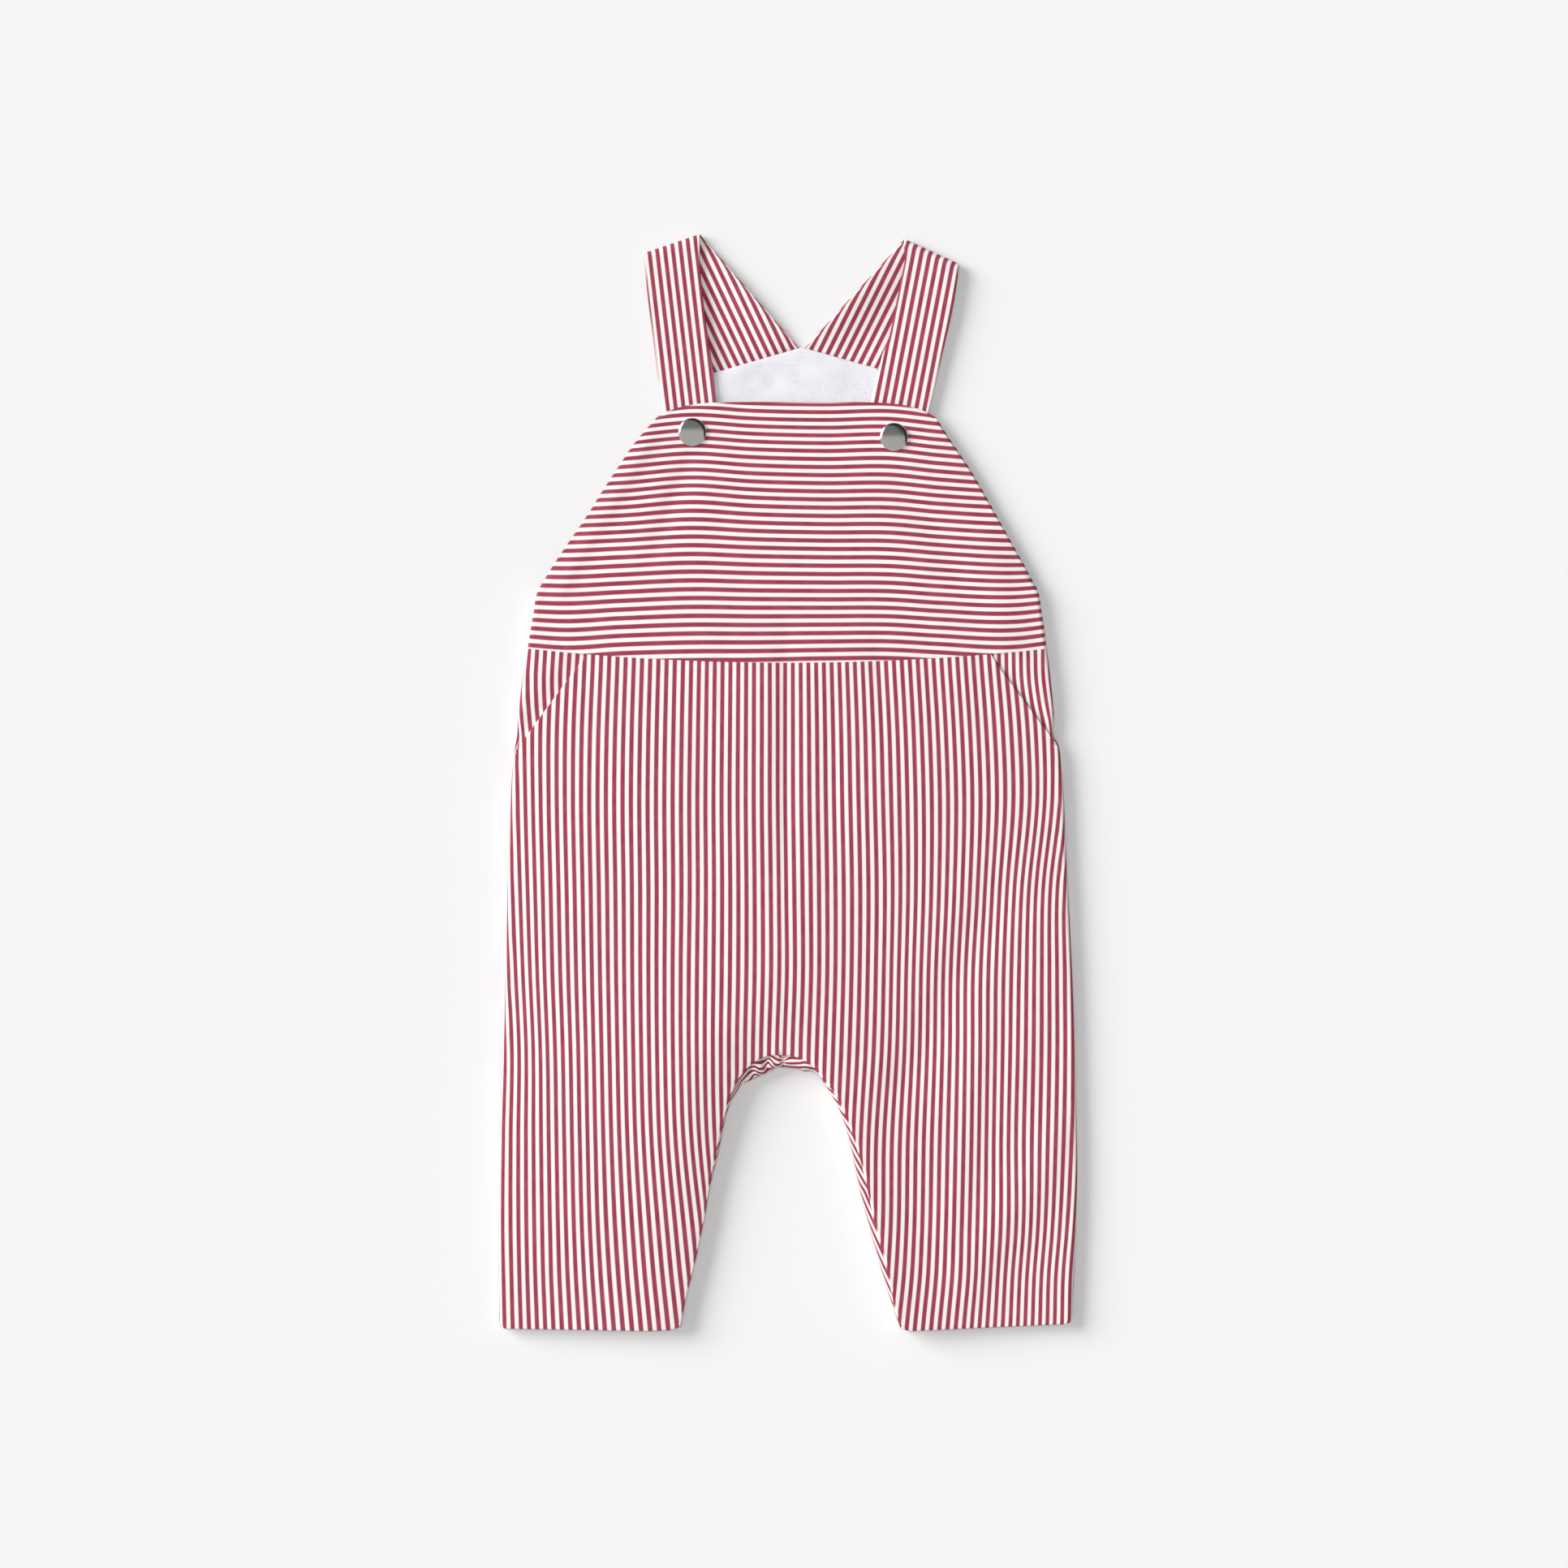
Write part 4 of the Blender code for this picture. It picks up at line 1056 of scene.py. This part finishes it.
def crotch_band_face(sunk):
    """The gathered band round the crotch arch, puckered across and rumpled along its left half."""
    travel = np.linspace(-BAND_ENDS[-1] + HALF_GAP, BAND_ENDS[1] - HALF_GAP, BAND_COLUMNS)
    dip = sum(p.depth * np.exp(-(((travel - p.travel) / p.width) ** 2)) for p in PUCKERS)
    points, _ = roll_columns(travel, sunk, smooth(BAND_PLACES, "x", "out", inseam_at(travel)[0]))
    foot = np.stack((*inseam_at(travel, ROLL_FOOT - BAND_FOOT_GAP), np.full(BAND_COLUMNS, sunk)),
                    axis=-1)
    points = np.hstack([foot[:, None], points])
    turns = np.concatenate([[0], ROLL_TURNS, np.full(LIP_COLUMNS, math.pi)])
    number = band_stripe(points, turns, points[:, 1 + ROLL_SAMPLES // 2])
    share = ease((np.degrees(turns) - PUCKER_START) / PUCKER_RUN)
    points[..., 1] += dip[:, None] * share * PUCKER_DRAW
    rumple = RUMPLE_DEPTH * np.cos(math.pi * number) ** RUMPLE_SHARPNESS
    rumple *= ease((RUMPLE_END_X - points[..., 0]) / RUMPLE_FADE)
    points[..., 2] -= (dip[:, None] + rumple) * share
    cloth = np.stack((number, travel[:, None] / PITCH + 0 * number), axis=-1)
    return Face(points.transpose(1, 0, 2)[::-1], cloth.transpose(1, 0, 2)[::-1])


# ---- straps ----

STRAP_ACROSS = 18
BACK_STEPS = 36
FOLD_STEPS = 14
FRONT_STEPS = 42
TUCK_STEPS = 10


def strap_swing(strap, ends, share):
    """The ends of a front row, moved to where the strap's edges run at a share of its length."""
    name = strap.name.removeprefix("strap_")
    outer, inner = (float(smooth(STRAP_EDGES, "share", f"{name}_{edge}", share))
                    for edge in ("outer", "inner"))
    across = (ends[1] - ends[0]) / np.linalg.norm(ends[1] - ends[0])
    out = (outer, inner) if strap.outer_side < 0 else (inner, outer)
    return ends + np.outer((-out[0], out[1]), across)


def strap_rows(strap, sunk):
    """The rows of a strap, from the back seam round the fold to the end tucked behind the bib.

    Each is its two ends, its height, how far round the fold it is, 0 before it and 1 after it, and
    how far its inner end is lifted.
    """
    fold = np.array([strap.fold_left, strap.fold_right])
    back_ends = np.array([strap.back_left, strap.back_right])
    bib_ends = np.array([strap.bib_left, strap.bib_right])
    line = (fold[1] - fold[0]) / np.linalg.norm(fold[1] - fold[0])
    out = np.array([-line[1], line[0]])

    def runs_to(ends):
        """Unit directions of both strap edges away from the fold."""
        return (ends - fold) / np.linalg.norm(ends - fold, axis=1, keepdims=True)

    def inside_fold(ends):
        """Both strap edges one fold radius inside the fold line."""
        runs = runs_to(ends)
        return fold + runs * STRAP_FOLD_RADIUS / np.abs(runs @ out)[:, None]

    back, front = inside_fold(back_ends), inside_fold(bib_ends)
    rows = []
    for share in np.arange(BACK_STEPS) / BACK_STEPS:
        lift = STRAP_LIFT * math.sin(math.pi * share) ** STRAP_LIFT_FULLNESS
        rows.append((mix(back_ends, back, share), sunk, 0.0, lift))
    radius = STRAP_FOLD_RADIUS - sunk
    for k in range(FOLD_STEPS + 1):
        turn = math.pi * k / FOLD_STEPS
        ends = mix(back, front, k / FOLD_STEPS) + out * radius * math.sin(turn)
        rows.append((ends, STRAP_FOLD_RADIUS - radius * math.cos(turn), k / FOLD_STEPS, 0.0))
    for k in range(1, FRONT_STEPS + 1):
        share = k / FRONT_STEPS
        z = mix(2 * STRAP_FOLD_RADIUS, STRAP_FRONT_Z, ease(share)) - sunk
        rows.append((strap_swing(strap, mix(front, bib_ends, share), share), z, 1.0, 0.0))
    for k in range(1, TUCK_STEPS + 1):
        ends = bib_ends + runs_to(bib_ends) * STRAP_TUCK * k / TUCK_STEPS
        rows.append((strap_swing(strap, ends, 1.0), STRAP_FRONT_Z - sunk, 1.0, 0.0))
    return rows


def line_number(stripe, x, y):
    """The number of the stripe at a place, counted to the right from a known straight one."""
    across = x - stripe.x + stripe.lean * (y - stripe.y)
    return across / math.hypot(1, stripe.lean) / stripe.pitch


def strap_face(strap, sunk):
    """A strap: its inner edge lifted behind, folded over at the shoulder, its end behind the bib.

    Its stripes run straight on both sides of the fold and join at the middle of it.
    """
    fold = np.mean([strap.fold_left, strap.fold_right], axis=0)
    joined = round(line_number(strap.front_stripe, *fold) - line_number(strap.back_stripe, *fold))
    shares = np.linspace(0, 1, STRAP_ACROSS + 1)
    to_inner = shares if strap.outer_side < 0 else 1 - shares
    points, cloth, along, last = [], [], 0.0, None
    for ends, z, turned, lift in strap_rows(strap, sunk):
        row = ends[0] + (ends[1] - ends[0]) * shares[:, None]
        points.append(np.column_stack([row, z + lift * ease(to_inner) ** 2]))
        middle = points[-1].mean(axis=0)
        step = 0.0 if last is None else float(np.linalg.norm(middle - last))
        along += step if turned < 0.5 else -step
        last = middle
        behind = line_number(strap.back_stripe, *row.T) + joined
        number = mix(behind, line_number(strap.front_stripe, *row.T), turned)
        cloth.append(np.column_stack([number, np.full(len(row), along / PITCH)]))
    return Face(np.array(points), np.array(cloth))


# ---- metal caps ----

CAP_PROFILE = table(
    "radius height",
    (0.0, 0.0),
    (5.6, 0.0),
    (6.9, 0.05),
    (7.35, 0.25),
    (7.5, 0.55),
    (7.5, 0.8),
    (7.42, 1.02),
    (7.2, 1.22),
    (6.85, 1.42),
    (6.5, 1.57),
    (6.2, 1.66),
    (5.6, 1.745),
    (4.2, 1.91),
    (2.6, 2.03),
    (1.2, 2.085),
    (0.0, 2.1),
)


def cap(name, x, y, material):
    """One cap turned round its own axis, seated on the bib and tilted with it."""
    step = CAP_REST_RADIUS
    slopes = [(front_height(x + dx, y + dy) - front_height(x - dx, y - dy)) / (2 * step)
              for dx, dy in ((step, 0), (0, step))]
    normal = Vector((-slopes[0], -slopes[1], 1)).normalized()
    turns = np.linspace(0, 2 * math.pi, CAP_SEGMENTS, endpoint=False)
    radius, height = column(CAP_PROFILE, "radius")[:, None], column(CAP_PROFILE, "height")[:, None]
    points = np.stack((radius * np.cos(turns), radius * np.sin(turns), height + 0 * turns), axis=-1)
    points = np.concatenate([points[0, :1], points[1:-1].reshape(-1, 3), points[-1, :1]])
    count = CAP_SEGMENTS
    rings = [1 + k * count + np.arange(count) for k in range(len(CAP_PROFILE) - 2)]
    faces = [(0, int(b), int(a)) for a, b in zip(rings[0], np.roll(rings[0], -1))]
    for low, high in zip(rings, rings[1:]):
        faces += np.stack((low, np.roll(low, -1), np.roll(high, -1), high), axis=1).tolist()
    faces += [(len(points) - 1, int(a), int(b)) for a, b in zip(rings[-1], np.roll(rings[-1], -1))]
    turn = Vector((0, 0, 1)).rotation_difference(normal).to_matrix()
    place = Vector((x, y, float(front_height(x, y)))) + normal * CAP_SEAT
    mesh = bpy.data.meshes.new(name)
    mesh.from_pydata([(turn @ Vector(p) + place) * MM for p in points.tolist()], [], faces)
    mesh.shade_smooth()
    mesh.materials.append(material)
    return add_object(name, mesh)


# ---- materials ----

class Graph:
    """Short calls that add joined nodes to a material or a world."""

    def __init__(self, owner, shader="Principled BSDF"):
        owner.use_nodes = True
        self.owner = owner
        self.tree = owner.node_tree
        self.shader = self.tree.nodes[shader]

    def add(self, kind, inputs=(), **settings):
        """A new node with its settings made and its inputs set, or joined where one is a socket."""
        node = self.tree.nodes.new("ShaderNode" + kind)
        for key, value in settings.items():
            setattr(node, key, value)
        self.fill(node, inputs)
        return node

    def fill(self, node, inputs):
        for key, value in dict(inputs).items():
            if isinstance(value, bpy.types.NodeSocket):
                self.tree.links.new(value, node.inputs[key])
            else:
                node.inputs[key].default_value = value

    def maths(self, operation, *values):
        return self.add("Math", enumerate(values), operation=operation).outputs[0]

    def times(self, first, second):
        return self.maths("MULTIPLY", first, second)

    def plus(self, first, second):
        return self.maths("ADD", first, second)

    def wave(self, value):
        """0 at whole numbers, rising to 0.5 half way between them."""
        return self.maths("PINGPONG", value, 0.5)

    def span(self, value, low, high):
        """0 to 1 as a value goes from low to high, with a level start and end."""
        inputs = {"Value": value, "From Min": low, "From Max": high}
        return self.add("MapRange", inputs, interpolation_type="SMOOTHSTEP").outputs[0]

    def blend(self, share, first, second):
        node = self.add("Mix", data_type="RGBA")
        self.fill(node, {0: share, 6: first, 7: second})
        return node.outputs[2]

    def noise(self, vector, scale, detail=2.0):
        inputs = {"Vector": vector, "Scale": scale, "Detail": detail}
        return self.add("TexNoise", inputs).outputs["Fac"]

    def cloth_place(self):
        """The place in the cloth as a vector, across the stripes and along them."""
        place = self.add("UVMap", uv_map="Cloth").outputs["UV"]
        parts = self.add("SeparateXYZ", {0: place})
        return place, parts.outputs["X"], parts.outputs["Y"]

    def bump(self, height, strength, distance):
        """Raise the surface's shading by a height, at its most by a distance in mm."""
        inputs = {"Height": height, "Strength": strength, "Distance": distance * MM}
        self.fill(self.shader, {"Normal": self.add("Bump", inputs).outputs["Normal"]})


# Colours in linear light. A stripe's red reaches RED_SHARE of the pitch from its middle.
RED_LIGHT = (0.45, 0.085, 0.130, 1.0)
RED_DARK = (0.33, 0.045, 0.080, 1.0)
# Painted shade: the red darkens to this in the valleys between the twill's ridges.
RED_VALLEY_SHADE = (0.25, 0.030, 0.056, 1.0)
WHITE_YARN = (0.83, 0.777, 0.76, 1.0)
WHITE_SHADE = (0.72, 0.69, 0.69, 1.0)
RED_SHARE = 0.266
TOOTH = 0.035
EDGE_SOFTNESS = 0.05
TWILL_SPACING = 1.05
RIDGE_CONTRAST = 1.6
DYE_STRETCH = (2.2, 0.55, 1.0)
DYE_SPAN = (0.34, 0.66)
THREAD_SPAN = (0.455, 0.49)
THREAD_SHADE = 0.3
SPECK_SCALE = 9.0
SPECK_SPAN = (0.4, 0.75)
SPECK_SHADE = 0.22


def striped_twill():
    """Red and white striped twill: toothed stripe edges, diagonal ridges with painted shade on the
    red between them, uneven dye.
    """
    graph = Graph(bpy.data.materials.new("striped_twill"))
    place, across, along = graph.cloth_place()
    phase = graph.times(graph.plus(across, along), PITCH / TWILL_SPACING)
    saw = graph.maths("FRACT", phase)
    ridge = graph.wave(phase)
    from_red = graph.wave(across)
    tooth = graph.times(graph.maths("SUBTRACT", saw, 0.5), TOOTH * 2)
    to_edge = graph.maths("SUBTRACT", graph.plus(RED_SHARE, tooth), from_red)
    red_share = graph.span(to_edge, -EDGE_SOFTNESS, EDGE_SOFTNESS)

    stretch = graph.add("Mapping", {"Vector": place, "Scale": DYE_STRETCH}).outputs[0]
    patches = graph.span(graph.noise(stretch, 1.0, detail=3.0), *DYE_SPAN)
    red = graph.blend(patches, RED_DARK, RED_LIGHT)
    # Painted shade in the twill's valleys: the red darkens between its ridges.
    red = graph.blend(graph.times(ridge, RIDGE_CONTRAST), RED_VALLEY_SHADE, red)
    thread = graph.span(from_red, *THREAD_SPAN)
    specks = graph.span(graph.noise(place, SPECK_SCALE), *SPECK_SPAN)
    shade = graph.plus(graph.times(thread, THREAD_SHADE), graph.times(specks, SPECK_SHADE))
    white = graph.blend(shade, WHITE_YARN, WHITE_SHADE)
    graph.fill(graph.shader, {"Base Color": graph.blend(red_share, white, red), "Roughness": 0.9,
                              "Sheen Weight": 0.06, "Sheen Roughness": 0.5,
                              "Specular IOR Level": 0.2})
    graph.bump(ridge, strength=0.5, distance=0.12)
    return graph.owner


JERSEY_LIGHT = (0.745, 0.735, 0.78, 1.0)
JERSEY_SHADE = (0.58, 0.57, 0.62, 1.0)
RIBS_PER_PITCH = 5.0
LOOPS_PER_PITCH = 6.5
FLECK_SCALE = 7.0
FLECK_SPAN = (0.42, 0.72)
PATCH_SCALE = 0.5
PATCH_SPAN = (0.35, 0.65)
PATCH_FLOOR = 0.4


def white_jersey():
    """Fine white knit: narrow ribs of loops with a faint fleck."""
    graph = Graph(bpy.data.materials.new("white_jersey"))
    place, across, along = graph.cloth_place()
    rib = graph.wave(graph.times(across, RIBS_PER_PITCH))
    loop = graph.wave(graph.times(along, LOOPS_PER_PITCH))
    height = graph.times(rib, graph.plus(loop, 0.5))
    fleck = graph.span(graph.noise(place, FLECK_SCALE, detail=3.0), *FLECK_SPAN)
    patch = graph.span(graph.noise(place, PATCH_SCALE), *PATCH_SPAN)
    fleck = graph.times(fleck, graph.plus(patch, PATCH_FLOOR))
    graph.fill(graph.shader, {"Base Color": graph.blend(fleck, JERSEY_LIGHT, JERSEY_SHADE),
                              "Roughness": 0.92, "Sheen Weight": 0.05,
                              "Specular IOR Level": 0.2})
    graph.bump(height, strength=0.2, distance=0.1)
    return graph.owner


METAL = (0.86, 0.85, 0.83, 1.0)
POLISH_SCALE = 900.0
POLISH_SPAN = (0.1, 0.18)


def polished_metal():
    """Nickel-plated metal with the faintest uneven polish."""
    graph = Graph(bpy.data.materials.new("polished_metal"))
    place = graph.add("TexCoord").outputs["Object"]
    polish = graph.add("MapRange", {"Value": graph.noise(place, POLISH_SCALE),
                                    "To Min": POLISH_SPAN[0], "To Max": POLISH_SPAN[1]})
    graph.fill(graph.shader, {"Base Color": METAL, "Metallic": 1.0,
                              "Roughness": polish.outputs[0]})
    return graph.owner


# ---- stage ----

VIEW_WIDTH = 0.8404
VIEW_X = -0.0022
VIEW_Y = -0.00065
CAMERA_HEIGHT = 5.0
SENSOR_WIDTH = 36.0
VIEW_END = 50.0
FLOOR_HALF = 3.0
FLOOR_Z = -0.0002
FLOOR_GREY = (0.76, 0.76, 0.76, 1.0)


def make_camera():
    data = bpy.data.cameras.new("camera")
    data.sensor_width = SENSOR_WIDTH
    data.lens = SENSOR_WIDTH * CAMERA_HEIGHT / VIEW_WIDTH
    data.clip_end = VIEW_END
    camera = add_object("camera", data)
    camera.location = (VIEW_X, VIEW_Y, CAMERA_HEIGHT)
    bpy.context.scene.camera = camera


def make_floor():
    mesh = bpy.data.meshes.new("floor")
    corners = [(x * FLOOR_HALF, y * FLOOR_HALF, FLOOR_Z)
               for x, y in ((-1, -1), (1, -1), (1, 1), (-1, 1))]
    mesh.from_pydata(corners, [], [(0, 1, 2, 3)])
    graph = Graph(bpy.data.materials.new("floor"))
    graph.fill(graph.shader, {"Base Color": FLOOR_GREY, "Roughness": 1.0,
                              "Specular IOR Level": 0.0})
    mesh.materials.append(graph.owner)
    floor = add_object("floor", mesh)


SUNS = table(
    "name azimuth elevation spread strength in_metal",
    ("key", 156.0, 29.0, 40.0, 3.49, True),
    ("top", 90.0, 86.0, 10.0, 1.34, False),
)
SKY_BRIGHT = (0.42, 0.42, 0.415, 1.0)
SKY_DARK = (0.17, 0.17, 0.173, 1.0)
SKY_FLAG = (0.03, 0.03, 0.032, 1.0)
SKY_EDGE = (0.08, 0.14)
FLAG_EDGE = (0.35, 0.5)


def make_suns():
    """Two soft suns: the low key light beyond the left shoulder and one from above."""
    for sun in SUNS:
        data = bpy.data.lights.new(sun.name, "SUN")
        data.energy = sun.strength
        data.angle = math.radians(sun.spread)
        light = add_object(sun.name, data)
        azimuth, elevation = math.radians(sun.azimuth), math.radians(sun.elevation)
        towards = Vector((math.cos(azimuth) * math.cos(elevation),
                          math.sin(azimuth) * math.cos(elevation), math.sin(elevation)))
        light.rotation_mode = "QUATERNION"
        light.rotation_quaternion = towards.to_track_quat("Z", "Y")
        light.visible_glossy = sun.in_metal


def make_sky():
    """A dim sky for the caps to mirror: brighter towards the hems, dark beyond the right shoulder."""
    graph = Graph(bpy.data.worlds.new("sky"), "Background")
    direction = graph.add("SeparateXYZ", {0: graph.add("TexCoord").outputs["Generated"]}).outputs
    colour = graph.blend(graph.span(direction["Y"], *SKY_EDGE), SKY_BRIGHT, SKY_DARK)
    to_flag = graph.span(graph.plus(direction["X"], direction["Y"]), *FLAG_EDGE)
    graph.fill(graph.shader, {"Color": graph.blend(to_flag, colour, SKY_FLAG)})
    bpy.context.scene.world = graph.owner


# ---- the garment ----

Sheet = namedtuple("Sheet", "width length area held rests_on")


def dress(node, face_at, thickness, material):
    """One cloth piece in the place of its solid, which it hides."""
    piece = shell(node + "_cloth", face_at, thickness, material)
    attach(piece, "root")
    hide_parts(node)


def build():
    twill, jersey, metal = striped_twill(), white_jersey(), polished_metal()

    def twill_piece(node, face_at, thickness=WALL):
        dress(node, face_at, thickness, twill)

    twill_piece("front_bib", front_bib_face)
    twill_piece("back_bib", back_bib_face)
    dress("back_lining", back_lining_face, LINING_WALL, jersey)
    for side, word in ((-1, "left"), (1, "right")):
        twill_piece("front_leg_" + word, lambda sunk: front_leg_face(side, sunk))
        twill_piece("back_leg_" + word, lambda sunk: back_leg_face(side, sunk))
        twill_piece("pocket_facing_" + word, lambda sunk: facing_face(side, sunk), LINING_WALL)
    twill_piece("crotch_band", crotch_band_face)
    for strap in STRAPS:
        twill_piece(strap.name, lambda sunk: strap_face(strap, sunk))
    for name, x, y in CAPS:
        item = cap(name + "_cap", x, y, metal)
        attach(item, "root")
        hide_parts(name)


make_camera()
make_floor()
make_suns()
make_sky()
build()
bpy.context.scene.view_settings.view_transform = "Standard"
